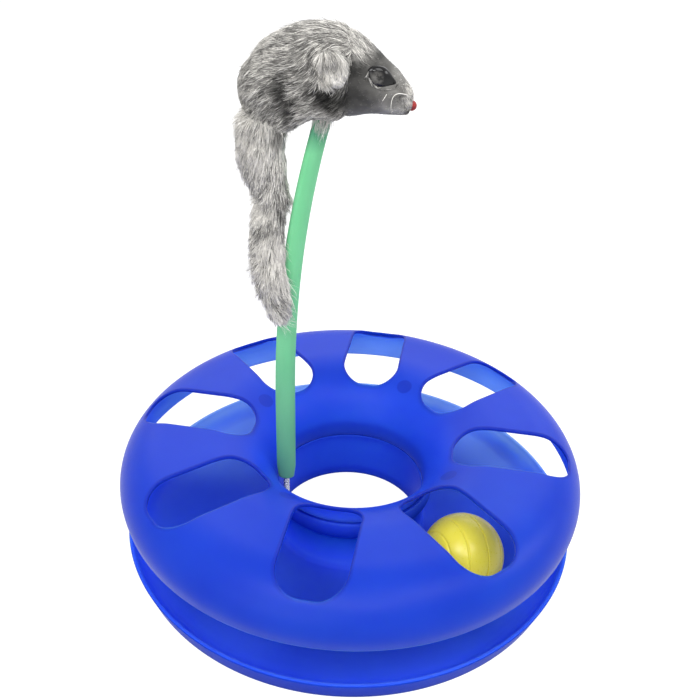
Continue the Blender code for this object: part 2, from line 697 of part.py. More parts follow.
def main():
    clear_scene()
    blue = finish_material("blue_plastic", (0.03, 0.08, 0.68), 0.38)
    yellow = finish_material("yellow_plastic", (0.72, 0.65, 0.07), 0.35)
    green = finish_material("green_sleeve", (0.22, 0.72, 0.37), 0.6)
    steel = finish_material("spring_steel", (0.62, 0.64, 0.68), 0.3, 1.0)
    fur = finish_material("grey_fur", (0.30, 0.29, 0.29), 0.95)
    black = finish_material("black_eye", (0.01, 0.01, 0.012), 0.12)
    red = finish_material("red_nose", (0.55, 0.04, 0.04), 0.7)
    clear = finish_material("whisker_bristle", (0.8, 0.8, 0.78), 0.4)

    make_base_shell(blue)
    make_top_shell(blue)
    ball = make_ball(yellow)
    spring = make_spring(steel)
    rod = [make_sleeve(green), make_core_wire(steel), make_ferrule(steel)]
    grown_body = make_grown("grown_body", BODY_SECTIONS)
    grown_head = make_grown("grown_head", HEAD_SECTIONS)
    body = make_mouse_body(fur)
    mouse = [body, make_mouse_head(fur, grown_body), make_nose(red, grown_head)]
    for side_name, side in (("left", 1), ("right", -1)):
        seats = (grown_body, grown_head)
        mouse.append(make_ear("ear_" + side_name, side, fur, seats))
        mouse.append(make_eye("eye_" + side_name, side, black, seats))
        for k, line in enumerate(WHISKER_LINES):
            name = "whisker_%s_%d" % (side_name, k + 1)
            mouse.append(make_whisker(name, side, line, clear, grown_head))
    tail_upper, tail_lower, tail_pivot, bend_pivot = make_tail(fur, body)

    orbit_axis = add_axis("ball_orbit_axis", (0, 0, 0))
    side_axis = add_axis("rod_sway_side_axis", (ROD_X, ROD_Y, (SOCKET_TOP + SLEEVE_FOOT) / 2))
    fore_axis = add_axis("rod_sway_fore_axis", (ROD_X, ROD_Y, SLEEVE_FOOT))
    swing_axis = add_axis("tail_swing_axis", tail_pivot)
    bend_axis = add_axis("tail_bend_axis", bend_pivot)
    carry(orbit_axis, *ball)
    carry(side_axis, spring, fore_axis)
    carry(fore_axis, *rod, *mouse, swing_axis)
    carry(swing_axis, tail_upper, bend_axis)
    carry(bend_axis, tail_lower)


main()
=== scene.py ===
from math import cos, pi, radians, sin, sqrt

import bmesh
import bpy
import numpy as np
from mathutils import Matrix, Vector, noise
from mathutils.bvhtree import BVHTree
from mathutils.kdtree import KDTree


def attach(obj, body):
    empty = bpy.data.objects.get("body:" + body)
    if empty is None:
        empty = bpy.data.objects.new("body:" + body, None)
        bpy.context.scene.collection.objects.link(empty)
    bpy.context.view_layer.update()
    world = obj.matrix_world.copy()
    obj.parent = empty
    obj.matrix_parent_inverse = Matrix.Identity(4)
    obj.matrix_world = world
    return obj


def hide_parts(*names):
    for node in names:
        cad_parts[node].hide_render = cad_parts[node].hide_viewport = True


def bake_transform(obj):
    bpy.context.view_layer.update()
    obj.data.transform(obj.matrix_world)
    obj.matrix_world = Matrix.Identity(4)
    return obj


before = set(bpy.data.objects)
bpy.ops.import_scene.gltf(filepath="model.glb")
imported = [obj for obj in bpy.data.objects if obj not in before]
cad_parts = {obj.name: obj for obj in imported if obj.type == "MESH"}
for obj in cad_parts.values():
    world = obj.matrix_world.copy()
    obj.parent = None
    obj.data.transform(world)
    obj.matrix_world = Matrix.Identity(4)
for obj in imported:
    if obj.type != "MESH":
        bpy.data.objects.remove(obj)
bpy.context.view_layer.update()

# Shapes are drawn in millimetres and degrees, and put into the scene in metres.
MM = 0.001
WELD_GAP = 0.002
WHITE = (1, 1, 1, 1)
GRAIN_RANGE = (0.3, 0.7)        # most values of a grain lie between these

# Ring: outlines are places of radius and height
SECTORS = 8
FIRST_WINDOW = -98.5
WINDOW_CORNER = 13.0
WINDOW_CORE_X = (67.0, 100.0)   # window outline less its corner rounding
WINDOW_CORE_Y = 3.0
WINDOW_ENDS, WINDOW_SIDES = 26, 52      # points on a window's short and long edges
SKIN_ROWS = 15
EDGE_EASE, UNDER_EASE = 1.1, 0.5        # rounding of a window's upper and lower edges
SHELL_WALL, RING_RADIUS = 2.0, 121.0
FLANK_CENTRE, FLANK_RADII, FLANK_START = (77.0, 28.8), (37.7, 34.2), 178.3
SHOULDER_CENTRE, SHOULDER_RADII = (96.0, 42.5), (25.0, 20.5)
RIM_DROP, SKIRT_FOOT, RIM_FOOT = 5.5, 28.8, 36.0
TRACK_MIDDLE = (80.0, 30.0)
BASE_CORNERS = (                # with the rounding of each
    (120, 12.5, 0.9), (116, 0, 1.2), (108, 0, 0.6), (106.8, 1.2, 0.5), (48.2, 1.2, 0.5), (47, 0, 0.6),
    (39, 0, 0.9), (39, 28.5, 0.6), (41.6, 28.5, 0.3), (42.58, 36.3, 0.5), (44.58, 36.3, 0.7),
    (44.58, 27.5, 1.0), (41, 23.5, 1.0), (41, 5.2, 0.9), (43, 3.2, 0.9))
BOWL_CENTRE, BOWL_RADII, BASE_LIP = (108.0, 12.5), (10.0, 9.3), (118, 12.5, 0.8)
TURN_STEPS = 240
BOSS_TURN, BOSS_HALF, BOSS_MIDDLE, BOSS_ROOT = 190, 3.4, 35.0, 40
BOSS_LEVELS = ((4.0, 0.8), (4.3, 0.35), (5.0, 0.0), (19.2, 0.0), (19.75, 0.25), (20.0, 0.7))   # height, inset
BORE_RADIUS, BORE_SPAN = 2.0, (14.0, 26.0)
PIN_TURNS, PIN_RADIUS, PIN_HEIGHT = (59, 149, 239, 329), 57.2, 57.9     # round marks left by the mould's pins
PIN_EDGE = (4.6, 4.1)
INSIDE_DEEP = 0.35              # the inside mark of deep blue, painted light for light through the wall; it grows paler from there to 1
PAINTED_PALE_RADII, PAINTED_SHADE_REACH = (74, 98), (55, 15)    # painted light: it grows pale between these radii, and behind these places; in front it stays deep, painted shade under the crown
HOLE_ADDED, HOLE_ADDED_RADII = 0.1, (66, 52)    # painted light added to the inside mark towards the hole
HOLE_LEAST, HOLE_LEAST_RADII = 0.12, (62, 46)   # the least mark towards the hole, a faint painted light on every face there
COLLAR_RADIUS, COLLAR_HEIGHTS = 46.5, (21, 31.5)        # the collar has no mark
RIM_PAINTED_SHADE = (1.6, 0.8, 3.0)      # painted shade, a dark line round windows: from, full at, and ordinary at these distances

# Ball
BALL_PLACE = Vector((57.638, -49.227, 24.0))
BALL_RADIUS = 20.5
BALL_WALL = 1.4
BALL_POLE = Vector((-0.86, -0.42, 0.28))
BALL_GROOVES = {"ball_half_a": (36, 62), "ball_half_b": (62,)}
GROOVE_DEPTH, GROOVE_HALF = 0.5, 2.0
SEAM, SEAM_EASE = 0.15, 0.5
BALL_ROWS, BALL_INNER_ROWS, BALL_SIDES = 119, 40, 128
BALL_EDGE = 88.4                # angle from the pole at which the seam's easing begins

# Rod
ROD_X, ROD_Y = -34.468, -6.078
ROD_TOP = 236.0
LEAN_START, ROD_LEAN, LEAN_POWER = 80.0, 19.8, 2.3
SLEEVE_FOOT, SLEEVE_WIDTH, SLEEVE_DEPTH = 34.0, 10.0, 5.6
SLEEVE_FOOT_HALF, SLEEVE_FLARE, SLEEVE_TWIST, SLEEVE_BORE = 4.1, 0.12, 55.0, 2.0
SLEEVE_SIDES, SLEEVE_ROWS, BORE_ROWS = 48, 110, 60
SLEEVE_EASE = ((0.0, 0.55), (0.12, 0.25))       # height and inset of the rings of its rounded foot
SLEEVE_START = 0.4
SPRING_LOW, SPRING_HIGH, SPRING_SPLIT = 15.0, 38.3, 30.5
SPRING_RADIUS, SPRING_WIRE, SPRING_CURLS, CURL_POINTS = 1.35, 0.7, 19, 20
SPRING_FREE, FORE_PIVOT = 20.0, 34.0            # the socket's mouth, and the upper sway's height

# Mouse: sections along X from the rod's top: forward, lift, half height, half width
MOUSE = np.array((ROD_X + ROD_LEAN, ROD_Y, ROD_TOP))
BODY_SECTIONS = (
    (-36.6, 3.0, 4.6, 4.4), (-34.2, 3.4, 9.2, 8.6), (-30.0, 4.4, 13.4, 12.0),
    (-23.3, 7.0, 17.0, 14.6), (-13.3, 9.2, 19.3, 16.0), (-3.3, 10.8, 18.9, 16.0),
    (5.7, 10.3, 17.3, 14.4), (11.4, 10.2, 11.8, 10.4), (14.2, 9.8, 5.6, 5.2))
HEAD_SECTIONS = (
    (3.0, 9.5, 15.3, 12.4), (10.2, 9.7, 16.3, 13.4), (16.7, 8.4, 13.8, 12.0),
    (23.2, 5.2, 10.8, 9.6), (28.4, 2.5, 8.4, 7.4), (32.0, 0.1, 5.8, 5.2), (33.8, -0.9, 3.4, 3.2))
SOFT_SIDES, EAR_SIDES, SOFT_LEVELS = 12, 8, 4
RUMP_SAG = 4.5
EAR_ROOT, EAR_TIP = (-1.6, 13.6, 21.4), (5.2, 15.6, 8.0)
EAR_HALF_WIDTHS = (2.6, 5.2, 5.8, 4.6, 1.8)
EAR_THICKNESS = 4.4
EYE_PLACE, EYE_HALF = (21.0, 9.0, 10.8), (6.9, 2.6, 4.2)
EYE_TILT, EYE_TOE_IN = 24, 20
EYE_BARE = (6.6, 3.9)           # half axes of the hairless oval under an eye
EYE_PAINTED_REFLECTION = (18.8, 11.2, 11.0)   # middle of its painted reflection
NOSE_PLACE, NOSE_RADIUS = (34.2, 0.0, -2.0), 2.1
WHISKER_RADIUS = 0.24
WHISKER_LINES = (
    ((32.6, 3.0, 1.6), (31.8, 5.9, 3.5), (30.3, 7.3, 4.3), (28.2, 9.1, 4.9), (26.4, 10.5, 4.5),
     (25.5, 11.1, 3.0), (25.2, 11.3, 0.9), (25.3, 11.1, -1.5)),
    ((23.4, 8.0, 4.4), (23.1, 10.0, 4.4), (22.6, 11.9, 4.0), (21.6, 14.2, 3.0)))
TAIL_PIVOT = np.array((-43.268, -6.078, 222.5))
TAIL_BEND = np.array((-39.568, -6.078, 190.5))
TAIL_TIP = np.array((-36.168, -16.078, 141.7))
TAIL_ROOT_RADIUS, TAIL_BEND_RADIUS, TAIL_TIP_RADIUS = 9.5, 6.4, 4.5
TAIL_BELLY, TAIL_CUFF, TAIL_ENDS = 1.1, 4.0, (2.5, 7.2)
TAIL_BOWS = (2.0, 3.1)          # how far each length bows away from the rod
TAIL_SIDES, TAIL_ROWS, TAIL_CAP_ROWS = 64, 36, 12
TAIL_CAP = (88, 4)              # angles of the first and last ring of a round end

# Hair
BODY_STRANDS, HEAD_STRANDS, EAR_STRANDS, THROAT_STRANDS, RIM_STRANDS = 36000, 26000, 5600, 150, 90
TAIL_STRANDS, WISPS = (11000, 12000), 110       # wisps are long loose hairs of the tail's end
STRANDS_IN_PIECE = 12000
STRAND_AT = (0.0, 0.34, 0.7)    # places of a strand's three rings, before its tip
STRAND_WIDE = (0.8, 1.0, 0.7)
STRAND_SHADE = (0.62, 0.86, 1.06, 1.22)
PALE_SHADE = (0.84, 0.96, 1.06, 1.2)
STRAND_SWING, STRAND_BEND, ROOT_DEPTH = 0.2, 0.1, 0.3
GUARD_LONGER, GUARD_WIDER, GUARD_PALER = 0.25, 0.5, 0.36
OWN_TONE, LOCK_TONE = 0.12, 0.17        # how much the grey varies between strands and between locks
TONE_GAIN = 1.16                # fur shades itself, so its colour is drawn paler than it looks

# Patches of the mouse's coat: forward, up, two radii, grey, share
COAT_PATCHES = (
    (-22, 21, 9, 7, 0.63, 0.7), (-8, 24, 8, 5, 0.58, 0.6), (-16.6, 6.0, 2.8, 5.0, 0.16, 0.95),
    (-14.6, -2.0, 3.0, 4.0, 0.16, 0.95), (-24.5, -1.0, 4.5, 2.0, 0.34, 0.5), (-13, 14.2, 4, 1.4, 0.30, 0.6),
    (-28, 9, 4, 6, 0.68, 0.6), (-6, -4, 5, 4, 0.68, 0.8), (0, -3.5, 3, 3, 0.66, 0.7),
    (11, 4, 8.0, 5.5, 0.23, 0.95), (11, 13.5, 5.5, 3.8, 0.16, 0.97), (1.2, 6.2, 7.5, 3.6, 0.14, 0.97),
    (3.0, 1.6, 5.0, 2.8, 0.18, 0.95), (12, -3.4, 9, 1.4, 0.44, 0.7), (21.5, 13.8, 6.5, 4, 0.24, 0.7),
    (10, 24, 6.5, 5, 0.65, 0.95), (15, 22, 4.5, 3.6, 0.62, 0.9), (20.5, 18.2, 2.4, 1.6, 0.24, 0.9),
    (26.5, 11.5, 4, 2.4, 0.60, 0.7), (27, 3.5, 4, 2.6, 0.46, 0.7), (28.0, -2.8, 6.0, 2.4, 0.74, 0.9),
    (33.0, 2.6, 2.2, 1.6, 0.80, 0.8), (33.5, -3.9, 1.6, 1.0, 0.18, 0.9))

# Lie of the body's coat: forward, up, and the angle at which the tips point above straight back
COAT_FLOW = np.array((
    (0, 29, 62), (-6, 30, 52), (-17, 28, 33), (-24, 25, 28), (-13, 21, 30), (-21, 20, 22), (-30, 18, 3),
    (-9, 14, 10), (-6, 18, -110), (-4, 23, -115), (-4, 12, -95), (-20, 14, 5), (-31, 11, -25), (-23, 10, -32),
    (-27, 4, -48), (-13, 10, 8), (-9, 7, -10), (-16, 4, -40), (-19, -1, -52), (-11, 0, -35), (-3, 1, -25)),
    float)

# Patches of the tail's coat: across, up, two radii, grey, share
TAIL_PATCHES = (
    (-42, 224, 99, 4, 0.62, 0.6), (-42, 213, 99, 6, 0.92, 0.6), (-46, 203, 5, 5, 0.56, 0.75),
    (-38, 201, 5, 5, 0.66, 0.5), (-36, 192, 5, 4, 0.48, 0.85), (-45, 188, 5, 3.2, 1.25, 0.9),
    (-43.5, 180.5, 4.0, 2.4, 0.30, 0.95), (-37, 178, 3.5, 3, 0.8, 0.6), (-36.6, 170.5, 3.2, 5, 1.25, 0.9),
    (-46, 169, 4, 5, 0.9, 0.6), (-40, 163, 4, 5, 1.15, 0.8), (-46.5, 161, 2.5, 3.5, 0.72, 0.7),
    (-41.5, 153, 3.5, 3, 0.62, 0.8), (-34, 157, 3, 5, 1.15, 0.8), (-47, 149, 3, 5, 1.25, 0.9),
    (-33.5, 146, 4, 6, 0.9, 0.85), (-39, 139, 6, 5, 1.2, 0.85))

# Stage, in metres
CAMERA_PLACE, LENS, SENSOR = (0.0, -0.3471, 0.3224), 42.017, 36.0
CAMERA_AHEAD, CAMERA_RIGHT = Vector((-0.0063, 0.8542, -0.5198)), Vector((0.9992, 0.0256, 0.0299))
WORLD_LIGHT, FLOOR_REACH = 0.55, 6.0
FLOOR_GREY, FLOOR_SEEN, FLOOR_GLOW = 0.5, 0.3, 0.88
LAMP_TARGET = Vector((0, 0, 0.08))
LAMPS = (
    ("key", (-0.35, -0.75, 1.15), (0.5, 0.5), 7.0), ("side", (0.5, -0.45, 1.05), (0.45, 0.45), 3.4),
    ("fill", (-0.6, -1.25, 0.5), (1.0, 0.7), 4.8), ("front", (0.19, -0.95, 1.05), (0.3, 0.2), 2.4),
    ("right", (1.0, -0.1, 0.62), (0.45, 0.3), 2.8), ("back", (0.0, 1.0, 0.9), (2.2, 0.9), 10.0))


def srgb(red, green, blue):
    """A colour as a screen shows it, 0 to 255, in the linear values that shaders take."""
    return tuple((c / 255 / 12.92) if c < 11 else ((c / 255 + 0.055) / 1.055) ** 2.4
                 for c in (red, green, blue))


def smooth_step(low, high, value):
    share = np.clip((value - low) / (high - low), 0, 1)
    return share * share * (3 - 2 * share)


def unit(vectors):
    return vectors / np.maximum(np.linalg.norm(vectors, axis=1), 1e-9)[:, None]


def columns(*values):
    """Rows of one number from each of some arrays; a single number stands in every row."""
    return np.stack(np.broadcast_arrays(*values), -1)


# Mesh making

def mesh_of(name, verts, quads=(), tris=()):
    verts = np.asarray(verts, float).reshape(-1, 3) * MM
    quads = np.asarray(quads, np.int32).reshape(-1, 4)
    tris = np.asarray(tris, np.int32).reshape(-1, 3)
    corners = np.concatenate((quads.ravel(), tris.ravel()))
    starts = np.concatenate((4 * np.arange(len(quads)), quads.size + 3 * np.arange(len(tris))))
    mesh = bpy.data.meshes.new(name)
    mesh.vertices.add(len(verts))
    mesh.vertices.foreach_set("co", verts.astype(np.float32).ravel())
    mesh.loops.add(len(corners))
    mesh.loops.foreach_set("vertex_index", corners.astype(np.int32))
    mesh.polygons.add(len(starts))
    mesh.polygons.foreach_set("loop_start", starts.astype(np.int32))
    mesh.update(calc_edges=True)
    mesh.validate()
    return mesh


def points_of(mesh):
    """A mesh's points, in metres."""
    points = np.empty(3 * len(mesh.vertices), np.float32)
    mesh.vertices.foreach_get("co", points)
    return points.reshape(-1, 3)


def weld(mesh):
    """Joins points that lie together, and turns every face outwards."""
    bm = bmesh.new()
    bm.from_mesh(mesh)
    bmesh.ops.remove_doubles(bm, verts=bm.verts, dist=WELD_GAP * MM)
    bmesh.ops.dissolve_degenerate(bm, edges=bm.edges, dist=WELD_GAP * MM / 2)
    bmesh.ops.recalc_face_normals(bm, faces=bm.faces)
    bm.to_mesh(mesh)
    bm.free()
    mesh.shade_smooth()
    return mesh


def linked(name, data):
    obj = bpy.data.objects.new(name, data)
    bpy.context.scene.collection.objects.link(obj)
    return obj


def show(name, mesh, material):
    mesh.materials.append(material)
    return linked(name, mesh)


def stand_for(obj, node, body):
    """Shows a piece in place of a CAD node, on that node's body."""
    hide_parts(node)
    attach(obj, body)


def grid_quads(rows, sides, wrap_rows=False, wrap_sides=True):
    row = np.arange(rows if wrap_rows else rows - 1)[:, None]
    side = np.arange(sides if wrap_sides else sides - 1)[None, :]
    next_row = (row + 1) % rows
    next_side = (side + 1) % sides
    return columns(row * sides + side, row * sides + next_side, next_row * sides + next_side,
                   next_row * sides + side).reshape(-1, 4)


def spun(profile, angle):
    """Points of an outline of (radius, height) points, at each of some angles about Z."""
    radius, height = profile[:, :1], profile[:, 1:]
    return columns(radius * np.cos(angle), radius * np.sin(angle), height).reshape(-1, 3)


def turned(profile, steps, closed=True):
    """Points and faces of an outline turned all the way about Z."""
    verts = spun(np.asarray(profile, float), 2 * pi * np.arange(steps) / steps)
    return verts, grid_quads(len(profile), steps, wrap_rows=closed)


def bezier(start, corner, end, count):
    """Points of a curve that leaves start and reaches end along the two sides of a corner."""
    share = np.linspace(0, 1, count)
    share = share.reshape((-1,) + (1,) * np.ndim(start))
    return (1 - share) ** 2 * start + 2 * share * (1 - share) * corner + share ** 2 * end


def eased(corners, count=6):
    """A closed outline whose corners (radius, height, rounding) are rounded as given."""
    outline = []
    for i, (radius, height, ease) in enumerate(corners):
        here = np.array((radius, height))
        if not ease:
            outline.append(here)
            continue
        ways = []
        for other in (corners[i - 1], corners[(i + 1) % len(corners)]):
            way = np.array(other[:2]) - here
            length = np.hypot(*way)
            ways.append((way / length, min(ease, 0.4 * length)))
        (back, start), (on, end) = ways
        outline.append(here + back * start * 1.2)
        outline.extend(bezier(here + back * start, here, here + on * end, count))
        outline.append(here + on * end * 1.2)
    return outline


def arc(centre, radii, start, end, count):
    angle = np.radians(np.linspace(start, end, count))
    return columns(centre[0] + radii[0] * np.cos(angle), centre[1] + radii[1] * np.sin(angle))


def sweep(points, radii, sides):
    """A round bar with closed ends along a line of points, with a radius at each point."""
    points = np.asarray(points, float)
    radii = np.broadcast_to(radii, len(points))
    along = np.gradient(points, axis=0)
    along /= np.linalg.norm(along, axis=1)[:, None]
    across = np.cross(along[0], (0.3, 0.5, 0.81))
    angle = 2 * pi * np.arange(sides) / sides
    rings = []
    for point, radius, way in zip(points, radii, along):
        across = across - way * (across @ way)
        across /= np.linalg.norm(across)
        third = np.cross(way, across)
        rings.append(point + radius * (np.cos(angle)[:, None] * across + np.sin(angle)[:, None] * third))
    verts = np.concatenate(rings + [points[:1], points[-1:]])
    count = len(points)
    tips = np.arange(sides)
    after = (tips + 1) % sides
    last = (count - 1) * sides
    low = columns(after, tips, count * sides)
    high = columns(tips + last, after + last, count * sides + 1)
    return verts, grid_quads(count, sides), np.concatenate((low, high))


def loft_cage(sections, sides):
    """A coarse closed cage over oval sections: each is a centre and its two half axes."""
    angle = 2 * pi * np.arange(sides) / sides
    rings = [np.array(c) + np.cos(angle)[:, None] * np.array(u) + np.sin(angle)[:, None] * np.array(v)
             for c, u, v in sections]
    faces = [tuple(q) for q in grid_quads(len(rings), sides).tolist()]
    last = (len(rings) - 1) * sides
    faces.append(tuple(range(sides))[::-1])
    faces.append(tuple(range(last, last + sides)))
    return np.concatenate(rings), faces


def evaluated(obj):
    """A new mesh of a piece with its modifiers applied."""
    graph = bpy.context.evaluated_depsgraph_get()
    return bpy.data.meshes.new_from_object(obj.evaluated_get(graph))


def soft_form(verts, faces):
    """Points and outward four-sided faces of a cage's smooth form."""
    mesh = bpy.data.meshes.new("cage")
    mesh.from_pydata((verts * MM).tolist(), [], faces)
    cage = linked("cage", mesh)
    cage.modifiers.new("soft", "SUBSURF").levels = SOFT_LEVELS
    made = evaluated(cage)
    points = points_of(made).astype(float) / MM
    corners = np.empty(len(made.loops), np.int32)
    made.loops.foreach_get("vertex_index", corners)
    bpy.data.objects.remove(cage, do_unlink=True)
    bpy.data.meshes.remove(made)
    bpy.data.meshes.remove(mesh)
    return points, outward_faces(points, corners.reshape(-1, 4))


def outward_faces(verts, quads):
    """The same faces, turned so that their directions point away from the middle."""
    a, b, c, d = (verts[quads[:, k]] for k in range(4))
    volume = np.einsum("ij,ij->", np.cross(c - a, d - b), (a + c) / 2 - verts.mean(0))
    return quads if volume > 0 else quads[:, ::-1]


def normals_of(verts, quads):
    """Outward direction at each point of a four-sided mesh."""
    a, b, c, d = (verts[quads[:, k]] for k in range(4))
    face = np.cross(c - a, d - b)
    total = np.zeros_like(verts)
    for k in range(4):
        np.add.at(total, quads[:, k], face)
    return unit(total)


def lumps(points, scale, seed):
    """Soft random heights from -1 to 1 at points, one every scale millimetres or so."""
    shift = Vector((seed * 7.31, seed * 3.17, seed * 5.53))
    return np.array([noise.noise(Vector(p) / scale + shift) for p in points.tolist()])


def roughened(verts, quads, *layers, rise=0):
    """A form moved outwards by a rise and by layers of lumps (height, scale, seed), with its directions."""
    for height, scale, seed in layers:
        rise = rise + height * lumps(verts, scale, seed)
    verts = verts + normals_of(verts, quads) * rise[:, None]
    return verts, quads, normals_of(verts, quads)


# Material making

def new_look(name, **fixed):
    """A material with a Principled shader, whose sockets named in fixed are set; an underscore is a space."""
    material = bpy.data.materials.new(name)
    material.use_nodes = True
    shader = material.node_tree.nodes["Principled BSDF"]
    for socket, value in fixed.items():
        shader.inputs[socket.replace("_", " ")].default_value = value
    return material, material.node_tree, shader


def add_node(tree, kind, inputs=(), **settings):
    made = tree.nodes.new("ShaderNode" + kind)
    for key, value in settings.items():
        setattr(made, key, value)
    for socket, value in dict(inputs).items():
        if isinstance(value, bpy.types.NodeSocket):
            tree.links.new(value, made.inputs[socket])
        else:
            made.inputs[socket].default_value = value
    return made


def place_on(tree):
    return add_node(tree, "TexCoord").outputs["Object"]


def grain(tree, scale, detail, stretch=(1, 1, 1)):
    """Random value from 0 to 1 over the piece, with scale features in a metre."""
    place = add_node(tree, "Mapping", {"Vector": place_on(tree), "Scale": stretch}).outputs["Vector"]
    return add_node(tree, "TexNoise", {"Vector": place, "Scale": scale, "Detail": detail}).outputs["Fac"]


def span(tree, value, low, high, to_low, to_high):
    inputs = {"Value": value, "From Min": low, "From Max": high, "To Min": to_low, "To Max": to_high}
    return add_node(tree, "MapRange", inputs).outputs["Result"]


def joined(tree, values, operation):
    """One value out of several, by an operation on each next two."""
    total = values[0]
    for value in values[1:]:
        total = add_node(tree, "Math", {0: total, 1: value}, operation=operation).outputs[0]
    return total


def nearest(tree, points):
    """Distance to the nearest of some points."""
    place = place_on(tree)
    return joined(tree, [add_node(tree, "VectorMath", {0: place, 1: tuple(np.array(point) * MM)},
                                  operation="DISTANCE").outputs["Value"] for point in points], "MINIMUM")


def shades(tree, value, low, high):
    """Colours from low to high as a grain's value goes through its usual range."""
    made = add_node(tree, "ValToRGB", {"Fac": value})
    for element, place, colour in zip(made.color_ramp.elements, GRAIN_RANGE, (low, high)):
        element.position = place
        element.color = (*colour, 1)
    return made.outputs["Color"]


def tints(tree, value, low, high):
    return shades(tree, value, srgb(*low), srgb(*high))


def mixed(tree, share, first, second, kind="MIX"):
    inputs = {0: share, 6: first, 7: second}
    return add_node(tree, "Mix", inputs, data_type="RGBA", blend_type=kind).outputs[2]


# mixes a colour towards another: used for real marks, for painted shade and for a painted reflection
def mark_and_painted_light(tree, share, colour, mark_colour):
    return mixed(tree, share, colour, (*srgb(*mark_colour), 1))


def finish_look(tree, shader, colour, value, rough, bump=()):
    """Links the colour, a roughness that varies with a grain's value, and bump: its strength and depth."""
    tree.links.new(colour, shader.inputs["Base Color"])
    tree.links.new(span(tree, value, *GRAIN_RANGE, *rough), shader.inputs["Roughness"])
    if bump:
        rough_up(tree, shader, value, *bump)


def rough_up(tree, shader, height, strength, depth):
    made = add_node(tree, "Bump", {"Height": height, "Strength": strength, "Distance": depth * MM})
    tree.links.new(made.outputs["Normal"], shader.inputs["Normal"])


def plain_look(name, grain_of, low, high, rough, bump=(), **fixed):
    """A look whose colour, roughness and bump vary with one grain."""
    material, tree, shader = new_look(name, **fixed)
    fine = grain(tree, *grain_of)
    finish_look(tree, shader, tints(tree, fine, low, high), fine, rough, bump)
    return material


def blue_look(name, polish):
    """Satin moulded plastic that lets some light through its wall, with round marks of the mould's pins.

    The mark "inside" paints light and shade into the colour: deep blue and then pale above nothing, painted
    light for light through the slot and the wall, and dark below nothing, painted shade round the windows.
    """
    material, tree, shader = new_look(
        name, IOR=1.49, Subsurface_Weight=0.8, Subsurface_Radius=(0.8, 0.95, 1.0), Subsurface_Scale=0.012)
    cloud = grain(tree, 22, 3)
    colour = tints(tree, cloud, (13, 47, 170), (19, 55, 178))
    # painted light of the faces towards the track, deep and pale
    deep = tints(tree, cloud, (40, 76, 232), (46, 84, 240))
    pale = tints(tree, cloud, (92, 132, 254), (100, 142, 255))
    inside = add_node(tree, "Attribute", attribute_name="inside").outputs["Fac"]
    tree.links.new(span(tree, inside, 0, 0.3, polish, 0.03), shader.inputs["Specular IOR Level"])
    # painted light on the faces towards the track: deep blue, then pale
    colour = mixed(tree, span(tree, inside, 0, INSIDE_DEEP, 0, 1), colour, deep)
    colour = mixed(tree, span(tree, inside, INSIDE_DEEP, 1, 0, 1), colour, pale)
    # painted shade: a dark line round the windows, below nothing
    colour = mark_and_painted_light(tree, span(tree, inside, 0, -1, 0, 0.65), colour, (8, 24, 132))
    pins = [(PIN_RADIUS * cos(radians(turn)), PIN_RADIUS * sin(radians(turn)), PIN_HEIGHT)
            for turn in PIN_TURNS]
    disc = span(tree, nearest(tree, pins), PIN_EDGE[0] * MM, PIN_EDGE[1] * MM, 0, 1)
    colour = mark_and_painted_light(tree, span(tree, disc, 0, 1, 0, 0.5), colour, (8, 28, 136))
    fine = grain(tree, 1500, 2)
    finish_look(tree, shader, colour, fine, (0.33, 0.43))
    rough_up(tree, shader, joined(tree, (fine, disc), "SUBTRACT"), 0.12, 0.08)
    return material


def yellow_look():
    material, tree, shader = new_look(
        "yellow_plastic", IOR=1.5, Subsurface_Weight=0.25, Subsurface_Radius=(1.0, 0.8, 0.2),
        Subsurface_Scale=0.003)
    colour = tints(tree, grain(tree, 60, 3), (230, 216, 52), (244, 230, 72))
    finish_look(tree, shader, colour, grain(tree, 900, 2), (0.26, 0.38), (0.08, 0.1))
    return material


def green_look():
    """Soft matt tube, darker and a little bluer towards its foot, painted shade, and darker where it enters the
    mouse.
    """
    material, tree, shader = new_look(
        "green_sleeve", IOR=1.45, Subsurface_Weight=0.3, Subsurface_Radius=(0.4, 1.0, 0.7),
        Subsurface_Scale=0.002)
    cloud = grain(tree, 90, 3, (1, 1, 0.25))
    light = tints(tree, cloud, (112, 198, 142), (128, 209, 156))
    dark = tints(tree, cloud, (94, 169, 124), (106, 179, 134))
    height = add_node(tree, "SeparateXYZ", {0: place_on(tree)}).outputs["Z"]
    # painted shade, a little bluer, towards the foot in the ring's hole
    colour = mixed(tree, span(tree, height, 0.13, 0.06, 0, 1), light, dark)
    # darker where it enters the mouse
    colour = mark_and_painted_light(tree, span(tree, height, 0.213, 0.222, 0, 0.75), colour, (62, 132, 104))
    finish_look(tree, shader, colour, grain(tree, 1400, 3), (0.55, 0.72), (0.25, 0.06))
    return material


def fur_look(name):
    """Hair and skin of the mouse: the colour comes with each point and varies a little on top."""
    material, tree, shader = new_look(name, IOR=1.4, Specular_IOR_Level=0.25)
    base = add_node(tree, "Attribute", attribute_name="fur_colour").outputs["Color"]
    fine = grain(tree, 700, 3)
    tint = shades(tree, fine, (0.86, 0.86, 0.86), (1.0, 1.0, 1.0))
    finish_look(tree, shader, mixed(tree, 1.0, base, tint, "MULTIPLY"), fine, (0.55, 0.75))
    return material


def mouse_point(offset, side=1):
    return MOUSE + np.array((offset[0], offset[1] * side, offset[2]))


